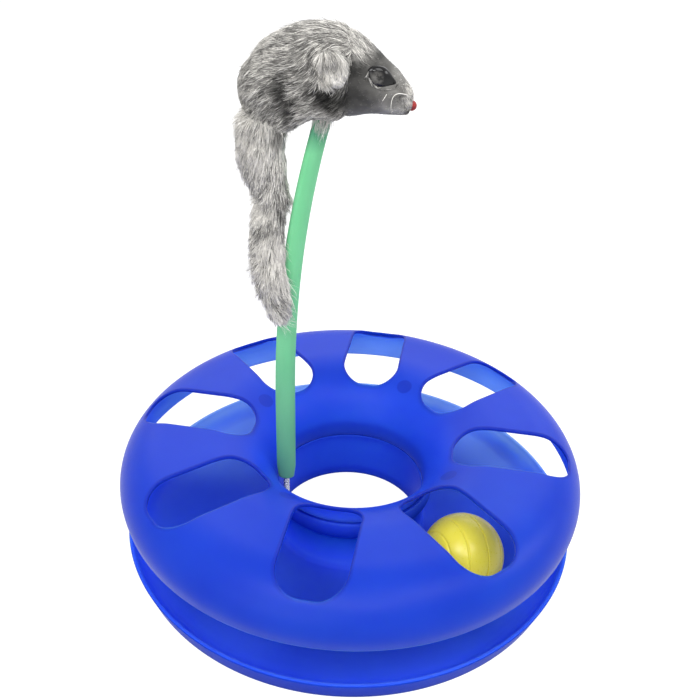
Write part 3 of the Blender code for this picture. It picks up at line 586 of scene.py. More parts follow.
def eye_look():
    """A glossy bead with a painted reflection: a grey blotchy patch at its back."""
    material, tree, shader = new_look("black_eye", IOR=1.5, Specular_IOR_Level=0.28)
    cloud = grain(tree, 160, 3)
    colour = tints(tree, cloud, (10, 10, 12), (26, 25, 26))
    # painted reflection: a grey blotchy patch at the back of each eye
    near = nearest(tree, [mouse_point(EYE_PAINTED_REFLECTION, side) for side in (1, -1)])
    blotch = span(tree, grain(tree, 700, 4), 0.38, 0.62, 0.1, 0.8)
    painted_reflection = joined(tree, (span(tree, near, 3.4 * MM, 1.6 * MM, 0, 1), blotch), "MULTIPLY")
    finish_look(tree, shader, mark_and_painted_light(tree, painted_reflection, colour, (112, 110, 107)), cloud, (0.06, 0.16))
    return material


BLUE, TRAY_BLUE = blue_look("blue_plastic", 0.13), blue_look("blue_tray", 0.015)
YELLOW, GREEN, BLACK = yellow_look(), green_look(), eye_look()
SKIN, FUR = fur_look("grey_skin"), fur_look("grey_fur")
STEEL = plain_look("spring_steel", (900, 3, (1, 1, 4)), (176, 180, 186), (214, 217, 222), (0.18, 0.36),
                   (0.1, 0.03), Metallic=1.0)
RED = plain_look("red_nose", (900, 4), (124, 28, 30), (168, 48, 46), (0.55, 0.8), (0.4, 0.15), IOR=1.45)
BRISTLE = plain_look("whisker_bristle", (500, 2), (206, 203, 196), (240, 238, 232), (0.3, 0.5), IOR=1.5)


# Ring

def edge_samples(start, end, facing, count):
    """Points of a window's core and outward directions along one edge, from corner to corner."""
    start, end = np.array(start), np.array(end)
    half = WINDOW_CORNER * pi / 4
    straight = np.hypot(*(end - start))
    reach = (2 * half + straight) * np.arange(count) / count
    share = np.clip((reach - half) / straight, 0, 1)[:, None]
    turn = facing + 45 * np.maximum(0, 1 - reach / half) - 45 * np.maximum(0, reach - half - straight) / half
    turn = np.radians(turn)
    return start + (end - start) * share, columns(np.cos(turn), np.sin(turn))


def shell_profile(wall):
    """Outline of one skin of the top shell, from its skirt's end in the hole to its rim."""
    flank = arc(FLANK_CENTRE, np.array(FLANK_RADII) - wall, FLANK_START, 90, 70)
    shoulder = arc(SHOULDER_CENTRE, np.array(SHOULDER_RADII) - wall, 90, 0, 60)
    drop = np.linspace(0, RIM_DROP, 14)[1:]
    rim = columns(RING_RADIUS - wall - (drop / 6.5) ** 1.6, SHOULDER_CENTRE[1] - drop)
    return np.concatenate((flank, shoulder, rim))


def shell_sector():
    """One eighth of the top shell round its window: outer skin, window edge, inner skin and both rims."""
    low_x, high_x = WINDOW_CORE_X
    side_y = WINDOW_CORE_Y
    corner = ((low_x, -side_y), (low_x, side_y), (high_x, side_y), (high_x, -side_y))
    counts = (WINDOW_ENDS, WINDOW_SIDES, WINDOW_ENDS, WINDOW_SIDES)
    edges = [edge_samples(corner[k], corner[(k + 1) % 4], 180 - 90 * k, counts[k]) for k in range(4)]
    core = np.concatenate([edge[0] for edge in edges])
    outward = np.concatenate([edge[1] for edge in edges])
    half = pi / SECTORS

    def skin(wall, ease):
        profile = shell_profile(wall)
        reach = np.concatenate(((0,), np.cumsum(np.hypot(*np.diff(profile, axis=0).T))))
        widest = int(np.argmax(profile[:, 0]))

        def at(radius):
            return np.interp(radius, profile[:widest + 1, 0], reach[:widest + 1])

        def points(s, turn):
            radius = np.interp(s, reach, profile[:, 0])
            height = np.interp(s, reach, profile[:, 1])
            return columns(radius * np.cos(turn), radius * np.sin(turn), height)

        ends = np.arange(WINDOW_ENDS) / WINDOW_ENDS
        sides = np.arange(WINDOW_SIDES) / WINDOW_SIDES
        rise = np.concatenate((0 * ends, sides, 0 * ends + 1, 1 - sides)) * reach[-1]
        turn = half * np.concatenate((2 * ends - 1, 0 * sides + 1, 1 - 2 * ends, 0 * sides - 1))
        loop = core + (WINDOW_CORNER + ease) * outward
        loop_rise, loop_turn = at(np.hypot(*loop.T)), np.arctan2(loop[:, 1], loop[:, 0])
        rows = [points(loop_rise + (rise - loop_rise) * share, loop_turn + (turn - loop_turn) * share)
                for share in np.linspace(1, 0, SKIN_ROWS + 1) ** 1.25]
        window = core + WINDOW_CORNER * outward
        edge = points(at(np.hypot(*window.T)), np.arctan2(window[:, 1], window[:, 0]))
        return rows, edge, profile

    outer, outer_edge, outer_profile = skin(0.0, EDGE_EASE)
    inner, inner_edge, inner_profile = skin(SHELL_WALL, UNDER_EASE)
    up = np.array((0, 0, 1.0))
    upper = bezier(outer[-1], outer_edge, outer_edge - up * EDGE_EASE, 8)[1:]
    lower = bezier(inner_edge + up * UNDER_EASE, inner_edge, inner[-1], 6)[:-1]
    rows = np.concatenate((np.array(outer), upper, lower, np.array(inner[::-1])))
    verts, quads = [rows.reshape(-1, 3)], [grid_quads(len(rows), len(core))]
    turns = half * (2 * np.arange(WINDOW_ENDS + 1) / WINDOW_ENDS - 1)
    for end, height in ((0, SKIRT_FOOT), (-1, RIM_FOOT)):
        first, last = outer_profile[end], inner_profile[end]
        middle = np.array(((first[0] + last[0]) / 2, height))
        round_end = np.concatenate((bezier(first, np.array((first[0], height)), middle, 5),
                                    bezier(middle, np.array((last[0], height)), last, 5)[1:]))
        quads.append(grid_quads(len(round_end), len(turns), wrap_sides=False) + sum(map(len, verts)))
        verts.append(spun(round_end, turns))
    return np.concatenate(verts), np.concatenate(quads)


def make_top_shell():
    verts, quads = shell_sector()
    all_verts, all_quads = [], []
    for k in range(SECTORS):
        turn = radians(FIRST_WINDOW) + 2 * pi * k / SECTORS
        spin = np.array(((cos(turn), -sin(turn), 0), (sin(turn), cos(turn), 0), (0, 0, 1)))
        all_verts.append(verts @ spin.T)
        all_quads.append(quads + k * len(verts))
    mesh = weld(mesh_of("track_top", np.concatenate(all_verts), np.concatenate(all_quads)))
    mark_inside_painted_light(mesh, windows=True)
    stand_for(show("track_top", mesh, BLUE), "top_shell", "ring")


def window_gap(points):
    """Distance in plan from each point to the edge of the nearest window."""
    turn = np.arctan2(points[:, 1], points[:, 0]) - radians(FIRST_WINDOW)
    turn = (turn + pi / SECTORS) % (2 * pi / SECTORS) - pi / SECTORS
    radius = np.hypot(points[:, 0], points[:, 1])
    out, side = radius * np.cos(turn), np.abs(radius * np.sin(turn))
    gap = np.maximum(0, np.maximum(WINDOW_CORE_X[0] - out, out - WINDOW_CORE_X[1]))
    return np.hypot(gap, np.maximum(0, side - WINDOW_CORE_Y)) - WINDOW_CORNER


def mark_inside_painted_light(mesh, windows=False):
    """Marks the faces towards the track with painted light, paler on the outer ones for light through the slot
    and the wall, and with painted shade in front, under the crown.

    The edges of windows are marked below nothing, for a painted dark line of shade round each.
    """
    places = points_of(mesh) / MM
    facing = np.empty(3 * len(mesh.vertices), np.float32)
    mesh.vertex_normals.foreach_get("vector", facing)
    radius = np.hypot(places[:, 0], places[:, 1])
    shrink = TRACK_MIDDLE[0] / radius - 1
    way = columns(places[:, 0] * shrink, places[:, 1] * shrink, TRACK_MIDDLE[1] - places[:, 2])
    inward = smooth_step(-0.2, 0.2, np.einsum("ij,ij->i", facing.reshape(-1, 3), unit(way)))
    # painted shade: the front keeps the deep blue, as if under the crown
    front = smooth_step(*PAINTED_SHADE_REACH, places[:, 1])
    share = inward * (INSIDE_DEEP + (1.0 - INSIDE_DEEP) * smooth_step(*PAINTED_PALE_RADII, radius) * (1 - front))
    share += HOLE_ADDED * inward * smooth_step(*HOLE_ADDED_RADII, radius)
    share = np.maximum(share, HOLE_LEAST * smooth_step(*HOLE_LEAST_RADII, radius))
    low, high = COLLAR_HEIGHTS
    collar = (inward > 0.5) & (radius < COLLAR_RADIUS) & (places[:, 2] > low) & (places[:, 2] < high)
    share[collar] = 0
    # painted shade: a dark line round each window's edge
    if windows:
        start, full, plain = RIM_PAINTED_SHADE
        edge = window_gap(places)
        share = share * smooth_step(start, plain, edge) - smooth_step(start, full, edge)
    mesh.attributes.new("inside", "FLOAT", "POINT").data.foreach_set("value", share.astype(np.float32))


def cut_and_join(obj, *steps):
    """Puts the result of boolean operations into a piece's mesh and removes the pieces they used."""
    for other, operation in steps:
        modifier = obj.modifiers.new(other.name, "BOOLEAN")
        modifier.operation = operation
        modifier.solver = "EXACT"
        modifier.object = other
    made, old = evaluated(obj), obj.data
    obj.modifiers.clear()
    obj.data = made
    made.name = old.name
    bpy.data.meshes.remove(old)
    for other, _ in steps:
        bpy.data.objects.remove(other, do_unlink=True)


def make_boss():
    """The spring's socket before it is bored: a block with a round front, on the wall of the hole."""
    turn = radians(BOSS_TURN)
    out = np.array((cos(turn), sin(turn)))
    side = np.array((-sin(turn), cos(turn)))
    outline = [out * BOSS_ROOT + side * BOSS_HALF]
    for angle in np.radians(np.linspace(90, 270, 21)):
        outline.append(out * (BOSS_MIDDLE + BOSS_HALF * cos(angle)) + side * BOSS_HALF * sin(angle))
    outline.append(out * BOSS_ROOT - side * BOSS_HALF)
    outline = np.array(outline)
    middle = outline.mean(0)
    away = outline - middle
    rings = []
    for height, inset in BOSS_LEVELS:
        scale = 1 - inset / np.linalg.norm(away, axis=1)[:, None]
        rings.append(np.column_stack((middle + away * scale, np.full(len(outline), height))))
    cage = np.concatenate(rings)
    count = len(outline)
    faces = [tuple(q) for q in grid_quads(len(rings), count).tolist()]
    faces += [tuple(range(count)), tuple(range(len(cage) - count, len(cage)))]
    block = bpy.data.meshes.new("boss")
    block.from_pydata((cage * MM).tolist(), [], faces)
    return show("boss", weld(block), TRAY_BLUE)


def make_base_shell():
    """Lower tray, with the spring's socket moulded on the wall of the hole."""
    bowl = [(radius, height, 0) for radius, height in arc(BOWL_CENTRE, BOWL_RADII, 270, 352, 16)]
    profile = eased([*BASE_CORNERS, *bowl, BASE_LIP])
    tray = show("track_base", weld(mesh_of("track_base", *turned(profile, TURN_STEPS))), TRAY_BLUE)
    line = columns(ROD_X, ROD_Y, BORE_SPAN)
    bore = show("bore", weld(mesh_of("bore", *sweep(line, BORE_RADIUS, 32))), TRAY_BLUE)
    cut_and_join(tray, (make_boss(), "UNION"), (bore, "DIFFERENCE"))
    tray.data.set_sharp_from_angle(angle=radians(50))
    mark_inside_painted_light(tray.data)
    stand_for(tray, "base_shell", "ring")


def make_ball():
    """Two hollow halves with shallow rings round their pole and an eased seam."""
    inner = BALL_RADIUS - BALL_WALL
    for name, side in (("ball_half_a", 1), ("ball_half_b", -1)):
        from_pole = np.linspace(0, BALL_EDGE, BALL_ROWS)
        radius = np.full(BALL_ROWS, BALL_RADIUS)
        for ring in BALL_GROOVES[name]:
            near = np.clip(1 - np.abs(from_pole - ring) / GROOVE_HALF, 0, 1)
            radius -= GROOVE_DEPTH * near * near * (3 - 2 * near)
        angle = np.radians(from_pole)
        outside = columns(radius * np.sin(angle), radius * np.cos(angle))
        seam = bezier(outside[-1], np.array((BALL_RADIUS, SEAM)),
                      np.array((BALL_RADIUS - SEAM_EASE, SEAM)), 5)[1:]
        inside = arc((0, 0), (inner, inner), np.degrees(np.arcsin(SEAM / inner)), 90, BALL_INNER_ROWS)
        verts, quads = turned(np.concatenate((outside, seam, inside)), BALL_SIDES, closed=False)
        spin = np.array((BALL_POLE * side).to_track_quat("Z", "Y").to_matrix())
        verts = verts @ spin.T + np.array(BALL_PLACE)
        half = show("track_" + name, weld(mesh_of(name, verts, quads)), YELLOW)
        stand_for(half, name, "ball")


# Rod

def rod_point(height):
    share = np.maximum(0, np.asarray(height, float) - LEAN_START) / (ROD_TOP - LEAN_START)
    return columns(ROD_X + ROD_LEAN * share ** LEAN_POWER, ROD_Y, height)


def sleeve_ring(height, inset=0.0, bore=False):
    """One section of the flattened sleeve, or of the hole through it."""
    way = rod_point(height + 1) - rod_point(height - 1)
    way /= np.linalg.norm(way)
    turn = radians(SLEEVE_TWIST) * (height - SLEEVE_FOOT) / (ROD_TOP - SLEEVE_FOOT)
    across = np.array((cos(turn), sin(turn), 0))
    across -= way * (across @ way)
    across /= np.linalg.norm(across)
    half_width = min(SLEEVE_WIDTH / 2, SLEEVE_FOOT_HALF + SLEEVE_FLARE * (height - SLEEVE_FOOT)) - inset
    half_depth = SLEEVE_DEPTH / 2 - inset
    if bore:
        half_width = half_depth = SLEEVE_BORE
    angle = 2 * pi * np.arange(SLEEVE_SIDES) / SLEEVE_SIDES
    return (rod_point(height) + half_width * np.cos(angle)[:, None] * across
            + half_depth * np.sin(angle)[:, None] * np.cross(way, across))


def make_sleeve():
    start = SLEEVE_FOOT + SLEEVE_START
    heights = start + (ROD_TOP - SLEEVE_FOOT - SLEEVE_START) * np.linspace(0, 1, SLEEVE_ROWS) ** 1.15
    rows = [sleeve_ring(SLEEVE_FOOT + rise, inset) for rise, inset in SLEEVE_EASE]
    rows += [sleeve_ring(height) for height in heights]
    rows += [sleeve_ring(height, bore=True) for height in np.linspace(ROD_TOP, SLEEVE_FOOT, BORE_ROWS)]
    quads = grid_quads(len(rows), SLEEVE_SIDES, wrap_rows=True)
    mesh = weld(mesh_of("rod_sleeve", np.concatenate(rows), quads))
    mesh.set_sharp_from_angle(angle=radians(55))
    stand_for(show("rod_sleeve", mesh, GREEN), "sleeve", "rod")


def make_spring():
    """The coil in two lengths, one across each of the two sways."""
    turns = np.arange(SPRING_CURLS * CURL_POINTS + 1)
    heights = SPRING_LOW + (SPRING_HIGH - SPRING_LOW) * turns / turns[-1]
    angle = 2 * pi * turns / CURL_POINTS
    line = columns(ROD_X + SPRING_RADIUS * np.cos(angle), ROD_Y + SPRING_RADIUS * np.sin(angle), heights)
    split = int(np.searchsorted(heights, SPRING_SPLIT))
    spans = (("coil_lower", line[:split + 1], "ring", "spring", SPRING_FREE, SPRING_SPLIT - 0.5),
             ("coil_upper", line[split:], "spring", "rod", SPRING_SPLIT, 2 * FORE_PIVOT - SPRING_SPLIT))
    for name, points, below, above, start, end in spans:
        coil = show(name, weld(mesh_of(name, *sweep(points, SPRING_WIRE / 2, 10))), STEEL)
        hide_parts("spring_coil")
        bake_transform(coil)


def dress_hidden():
    """Wire and ferrule keep their own shapes inside the sleeve and the mouse."""
    for name in ("core_wire", "wire_ferrule"):
        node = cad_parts[name]
        node.data.materials.clear()
        node.data.materials.append(STEEL)


# Fur

def patched(tone, across, up, patches):
    """Greys with soft patches laid over them, one after another."""
    for at_across, at_up, reach_across, reach_up, grey, share in patches:
        weight = share * np.exp(-((across - at_across) / reach_across) ** 2 - ((up - at_up) / reach_up) ** 2)
        tone += (grey - tone) * weight
    return tone


def coat_tone(points, base, seed):
    """Grey value of the mouse's coat: a base, its patches and mottling."""
    forward, _, up = (points - MOUSE).T
    tone = patched(np.full(len(points), base), forward, up, COAT_PATCHES)
    return tone + 0.07 * lumps(points, 5.0, seed) + 0.05 * lumps(points, 2.2, seed + 1)


def tail_tone(points, seed):
    """Grey value of the tail's coat, with painted shade: darker towards the rod, on its shaded side."""
    across = points[:, 0]
    height = points[:, 2] + 1.5 * lumps(points, 6.0, seed + 2)
    # painted shade: darker towards the rod
    tone = patched(0.94 - 0.46 * smooth_step(-46, -34, across), across, height, TAIL_PATCHES)
    return tone + 0.07 * lumps(points, 4.0, seed) + 0.05 * lumps(points, 1.8, seed + 1)


def paint(mesh, tone):
    """Gives each point the linear colour of a grey as a screen shows it, a little warm where it is pale."""
    tone = np.clip(tone * TONE_GAIN, 0.03, 0.985)[:, None]
    shown = tone * np.array((1.0, 0.988, 0.965)) * np.clip(1.0 + 0.02 * (tone - 0.5), 0.9, 1.1)
    colours = np.concatenate((shown ** 2.2, np.ones_like(tone)), 1)
    layer = mesh.attributes.new("fur_colour", "FLOAT_COLOR", "POINT")
    layer.data.foreach_set("color", colours.astype(np.float32).ravel())


def scatter(verts, quads, normals, count, rng, density=None):
    """Random places on a four-sided mesh, with their outward directions; density weighs each face."""
    a, b, c, d = (verts[quads[:, k]] for k in range(4))
    area = np.linalg.norm(np.cross(c - a, d - b), axis=1) / 2
    if density is not None:
        area = area * density((a + c) / 2)
    pick = rng.choice(len(quads), size=count, p=area / area.sum())
    u, v = rng.random((2, count, 1))
    weights = ((1 - u) * (1 - v), u * (1 - v), u * v, (1 - u) * v)
    chosen = quads[pick]
    place = sum(w * verts[chosen[:, k]] for k, w in enumerate(weights))
    out = sum(w * normals[chosen[:, k]] for k, w in enumerate(weights))
    return place, unit(out)


def strand_piece(name, verts, tones):
    """One piece of fur: ten points a strand, and for each strand its own cell of the texture map."""
    count = len(verts)
    start = 10 * np.arange(count)[:, None]
    quads = np.concatenate([start + np.array((r + k, r + (k + 1) % 3, r + 3 + (k + 1) % 3, r + 3 + k))
                            for r in (0, 3) for k in range(3)], 1)
    tris = np.concatenate([start + np.array((2, 1, 0))]
                          + [start + np.array((6 + k, 6 + (k + 1) % 3, 9)) for k in range(3)], 1)
    mesh = mesh_of(name, verts, quads, tris)
    mesh.shade_smooth()
    paint(mesh, tones.ravel())
    cells = int(np.ceil(sqrt(count)))
    corner = columns(np.arange(count) % cells, np.arange(count) // cells)[:, None, :]
    left, middle, right = 0.15, 0.5, 0.85
    low, mid, high, top = 0.12, 0.4, 0.64, 0.88
    quad_map = np.array([((left, bottom), (right, bottom), (right, above), (left, above))
                         for bottom, above in ((low, mid), (mid, high)) for _ in range(3)]).reshape(1, -1, 2)
    tri_map = np.array([((left, low), (right, low), (middle, 0.3))]
                       + [((left, high), (right, high), (middle, top))] * 3).reshape(1, -1, 2)
    places = np.concatenate(((corner + quad_map).reshape(-1, 2), (corner + tri_map).reshape(-1, 2))) / cells
    mesh.uv_layers.new(name="OFBake").data.foreach_set("uv", places.astype(np.float32).ravel())
    piece = show(name, mesh, FUR)
    return piece


def make_fur(name, roots, normals, flow, length, lift, width, tone, rng, clump=0.4,
             lock=6, wrap=1e6, contrast=1.0, stray=0.015, guard=0.16, shade=STRAND_SHADE):
    """Thousands of fine closed strands that lie along the flow and gather into locks.

    They rise by the lift, bend round a form of the radius wrap, a share of them is stray, and a share are
    guard hairs: longer, thicker and paler than the rest.
    """
    count = len(roots)
    side = np.cross(normals, flow)
    swing = rng.normal(0, STRAND_SWING, count)[:, None]
    flow = unit(flow * np.cos(swing) + unit(side) * np.sin(swing))
    side = unit(np.cross(normals, flow))
    guards = rng.random(count) < guard
    length = length * rng.uniform(0.7, 1.2, count) * (1 + GUARD_LONGER * guards)
    loose = rng.random(count) < stray
    lift = lift * rng.uniform(0.6, 1.4, count) + loose * rng.uniform(0.3, 0.7, count)
    bend = rng.normal(0, STRAND_BEND, count)[:, None]

    def centre(u):
        ahead = (length * np.cos(lift) * u)[:, None]
        rise = (length * np.sin(lift) * (u - 0.5 * u * u))[:, None] - ahead ** 2 / (2 * wrap)
        return roots + flow * ahead + normals * (rise - ROOT_DEPTH) + side * length[:, None] * bend * u * u

    tips = centre(1.0)
    guides = rng.permutation(count)[:max(1, count // lock)]
    tree = KDTree(len(guides))
    for k, guide in enumerate(guides):
        tree.insert(Vector(roots[guide]), k)
    tree.balance()
    lead = guides[[tree.find(Vector(root))[1] for root in roots]]
    pull = (clump * ~loose)[:, None] * (tips[lead] + 0.2 * (roots - roots[lead]) - tips)
    vary = rng.normal(0, OWN_TONE, count) + rng.normal(0, LOCK_TONE, count)[lead] + GUARD_PALER * guards
    tone = tone * (1 + contrast * vary)
    wide = width * rng.uniform(0.7, 1.25, count) * (1 + GUARD_WIDER * guards)
    lines = [centre(u) + u * u * pull for u in STRAND_AT] + [tips + pull]
    way = unit(lines[-1] - lines[0])
    across = unit(np.cross(way, normals))
    up = np.cross(across, way)
    rings = []
    for line, share in zip(lines, STRAND_WIDE):
        for angle in (pi / 2, pi * 7 / 6, pi * 11 / 6):
            reach = (wide * share)[:, None]
            rings.append(line + reach * (cos(angle) * across + 0.7 * sin(angle) * up))
    verts = np.stack(rings + [lines[-1]], 1)
    tones = tone[:, None] * np.repeat(np.array(shade), (3, 3, 3, 1))
    order = np.argsort(roots[:, 1], kind="stable")
    parts = np.array_split(order, -(-count // STRANDS_IN_PIECE))
    return [strand_piece("%s_%d" % (name, k + 1), verts[part], tones[part]) for k, part in enumerate(parts)]


def rod_fur(*strands, **kind):
    for fur in make_fur(*strands, **kind):
        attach(fur, "rod")


def soft_skin(mesh, node, tone):
    """The skin under the hair, which stands for a soft CAD node."""
    paint(mesh, tone)
    skin = show(node + "_skin", mesh, SKIN)
    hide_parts(node)
    return skin


def rod_skin(node, verts, quads, tone):
    mesh = mesh_of(node + "_skin", verts, quads)
    mesh.shade_smooth()
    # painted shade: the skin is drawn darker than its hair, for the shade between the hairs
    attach(soft_skin(mesh, node, tone * 0.8), "rod")


def lie(want, out):
    """Directions laid flat on the skin."""
    return unit(want - out * np.einsum("ij,ij->i", want, out)[:, None])


# Mouse

def mouse_cage(rows):
    """Cage of the body or head; a subdivided cage shrinks, so its rings are drawn larger by that share."""
    swell = 3 / (2 + cos(2 * pi / SOFT_SIDES))
    sections = [(MOUSE + np.array((forward, 0, lift)), (0, half_width * swell, 0), (0, 0, half_height * swell))
                for forward, lift, half_height, half_width in rows]
    return loft_cage(sections, SOFT_SIDES)


def inside_of(verts, quads):
    """A test of which points lie inside a form, at least a given depth below its skin."""
    tree = BVHTree.FromPolygons([tuple(v) for v in verts], [tuple(q) for q in quads.tolist()])

    def test(points, depth):
        found = np.zeros(len(points), bool)
        for i, point in enumerate(points):
            place, normal, _, far = tree.find_nearest(Vector(point))
            found[i] = (Vector(point) - place).dot(normal) < 0 and far > depth
        return found

    return test


def fill_neck(verts, quads):
    """The coat bridges the dip between body and head, above and below."""
    forward, _, up = (verts - MOUSE).T
    above = 1.1 * np.exp(-((forward - 7) / 6) ** 2) * smooth_step(12, 22, up)
    below = 1.0 * np.exp(-((forward - 5) / 6) ** 2) * smooth_step(3, -5, up)
    return verts + normals_of(verts, quads) * (above + below)[:, None]


def body_form():
    verts, quads = soft_form(*mouse_cage(BODY_SECTIONS))
    forward, _, up = (verts - MOUSE).T
    verts[:, 2] -= RUMP_SAG * (smooth_step(-7, -20, forward) * smooth_step(0, -9, up))
    return roughened(fill_neck(verts, quads), quads, (0.35, 9.0, 3), (0.2, 3.5, 4))


def head_form():
    verts, quads = soft_form(*mouse_cage(HEAD_SECTIONS))
    verts = fill_neck(verts, quads)
    forward, _, up = (verts - MOUSE).T
    brow = 0.7 * smooth_step(22, 29, forward) * smooth_step(0, 5, up)
    return roughened(verts, quads, (0.2, 6.0, 5), rise=brow)


def coat_flow(forward, up):
    """Direction of the coat's tips before it is laid on the skin."""
    gap = ((forward[:, None] - COAT_FLOW[:, 0]) / 6) ** 2 + ((up[:, None] - COAT_FLOW[:, 1]) / 5) ** 2
    weight = np.exp(-0.5 * np.minimum(gap, 60)) + 1e-9
    angle = np.radians(weight @ COAT_FLOW[:, 2] / weight.sum(1))
    return columns(-np.cos(angle), 0, np.sin(angle))


def make_body(verts, quads, normals, in_head):
    seed = 11
    rod_skin("mouse_body", verts, quads, coat_tone(verts, 0.55, seed))
    rng = np.random.default_rng(21)
    roots, out = scatter(verts, quads, normals, BODY_STRANDS, rng)
    forward, across, up = (roots - MOUSE).T
    rod_gap = np.hypot(roots[:, 0] - rod_point(roots[:, 2])[:, 0], across)
    keep = ~in_head(roots, 0.6) & ~((rod_gap < 4.5) & (up < 5))
    roots, out, forward, up = roots[keep], out[keep], forward[keep], up[keep]
    flow = lie(coat_flow(forward, up), out)
    length = 5.8 - 1.0 * smooth_step(0, 12, forward) - 0.8 * smooth_step(2, -8, up)
    rod_fur("mouse_body_fur", roots, out, flow, length, 0.32, 0.092, coat_tone(roots, 0.56, seed), rng,
            wrap=17, contrast=1.3, lock=7)


def make_head(verts, quads, normals, in_body):
    seed = 12
    rod_skin("mouse_head", verts, quads, coat_tone(verts, 0.52, seed))
    rng = np.random.default_rng(22)

    def density(points):
        return 1 + 1.4 * smooth_step(14, 24, points[:, 0] - MOUSE[0])

    roots, out = scatter(verts, quads, normals, HEAD_STRANDS, rng, density)
    forward, across, up = (roots - MOUSE).T
    turn = radians(EYE_TILT)
    along = (forward - EYE_PLACE[0]) * cos(turn) - (up - EYE_PLACE[2]) * sin(turn)
    rise = (forward - EYE_PLACE[0]) * sin(turn) + (up - EYE_PLACE[2]) * cos(turn)
    in_eye = ((along / EYE_BARE[0]) ** 2 + (rise / EYE_BARE[1]) ** 2 < 1) & (np.abs(across) > 4)
    nose_gap = np.linalg.norm(roots - MOUSE - np.array(NOSE_PLACE), axis=1)
    keep = ~in_body(roots, 0.8) & ~in_eye & (nose_gap > NOSE_RADIUS + 0.2)
    roots, out, forward, up = roots[keep], out[keep], forward[keep], up[keep]
    crown = smooth_step(11, 17, up) * smooth_step(22, 15, forward)
    muzzle = smooth_step(29.5, 31.0, forward) * smooth_step(-0.8, 0.4, up)
    want = columns(-1.0 + 0.45 * crown + 2.0 * muzzle, 0, 0.8 * crown - 0.05 - 0.8 * muzzle)
    length = 1.7 + 2.6 * crown + 1.4 * smooth_step(12, 4, forward) + 2.2 * muzzle
    tone = coat_tone(roots, 0.50, seed)
    tone += (0.85 - tone) * muzzle
    rod_fur("mouse_head_fur", roots, out, lie(want, out), length, 0.3 - 0.08 * crown, 0.07 + 0.03 * crown,
            tone, rng, clump=0.3, wrap=20, contrast=1.3, guard=0.16 * crown)


def make_throat():
    """Pale hair that hangs from the belly over the front of the sleeve's upper end."""
    seed, count = 23, THROAT_STRANDS
    rng = np.random.default_rng(seed)
    turn = np.radians(rng.uniform(180, 345, count))
    out = columns(np.cos(turn), np.sin(turn), 0)
    height = ROD_TOP - rng.uniform(5.5, 7.5, count)
    from_wide = turn - radians(SLEEVE_TWIST)
    skin = 1 / np.hypot(2 * np.cos(from_wide) / SLEEVE_WIDTH, 2 * np.sin(from_wide) / SLEEVE_DEPTH)
    roots = rod_point(height) + out * (skin + rng.uniform(0.3, 1.2, count))[:, None]
    way = rod_point(height - 8) - rod_point(height)
    length = rng.uniform(4, 11, count)
    rod_fur("mouse_throat_fur", roots, out, lie(way, out), length, 0.08, 0.07,
            0.8 + 0.1 * lumps(roots, 3.0, seed), rng, clump=0.5, contrast=1.2, shade=PALE_SHADE)


def make_ear(name, side, seed):
    """A furred flap that lies back along the cheek, with long bright hair down to its tip."""
    root, tip = mouse_point(EAR_ROOT, side), mouse_point(EAR_TIP, side)
    reach = np.linalg.norm(tip - root)
    along = (tip - root) / reach
    flat = np.cross(along, (0, side, 0))
    flat /= np.linalg.norm(flat)
    proud = np.cross(flat, along)
    last = len(EAR_HALF_WIDTHS) - 1
    sections = [(root + (tip - root) * i / last, flat * half, proud * EAR_THICKNESS / 2)
                for i, half in enumerate(EAR_HALF_WIDTHS)]
    verts, quads = soft_form(*loft_cage(sections, EAR_SIDES))
    normals = normals_of(verts, quads)
    verts += normals * (0.25 * lumps(verts, 4.0, seed))[:, None]
    share = (verts - root) @ along / reach
    rod_skin(name, verts, quads, 0.7 + 0.1 * share + 0.06 * lumps(verts, 3.0, seed))
    rng = np.random.default_rng(seed)
    roots, out = scatter(verts, quads, normals, EAR_STRANDS, rng)
    share = (roots - root) @ along / reach
    edge = (roots - root) @ flat
    behind = smooth_step(1.5, 4.5, -side * edge)
    flow = lie(along - 0.13 * np.abs(edge)[:, None] * side * flat, out)
    length = 6.8 - 5.4 * smooth_step(0.3, 0.9, share) + 2.0 * behind * smooth_step(0.7, 0.4, share)
    tone = 0.64 + 0.16 * smooth_step(0.0, 0.8, share) + 0.12 * lumps(roots, 2.4, seed)
    lift = 0.24 - 0.12 * smooth_step(1.5, 4.5, np.abs(edge))
    rod_fur(name + "_fur", roots, out, flow, length, lift, 0.12, tone, rng, clump=0.45, lock=8, wrap=14,
            guard=0.3, shade=PALE_SHADE)


def ball_grid(rows, sides):
    """Points of a unit ball with its poles on X, and its faces."""
    angle = np.linspace(0, pi, rows)
    verts, quads = turned(columns(np.sin(angle), np.cos(angle)), sides, closed=False)
    return verts[:, [2, 0, 1]], quads


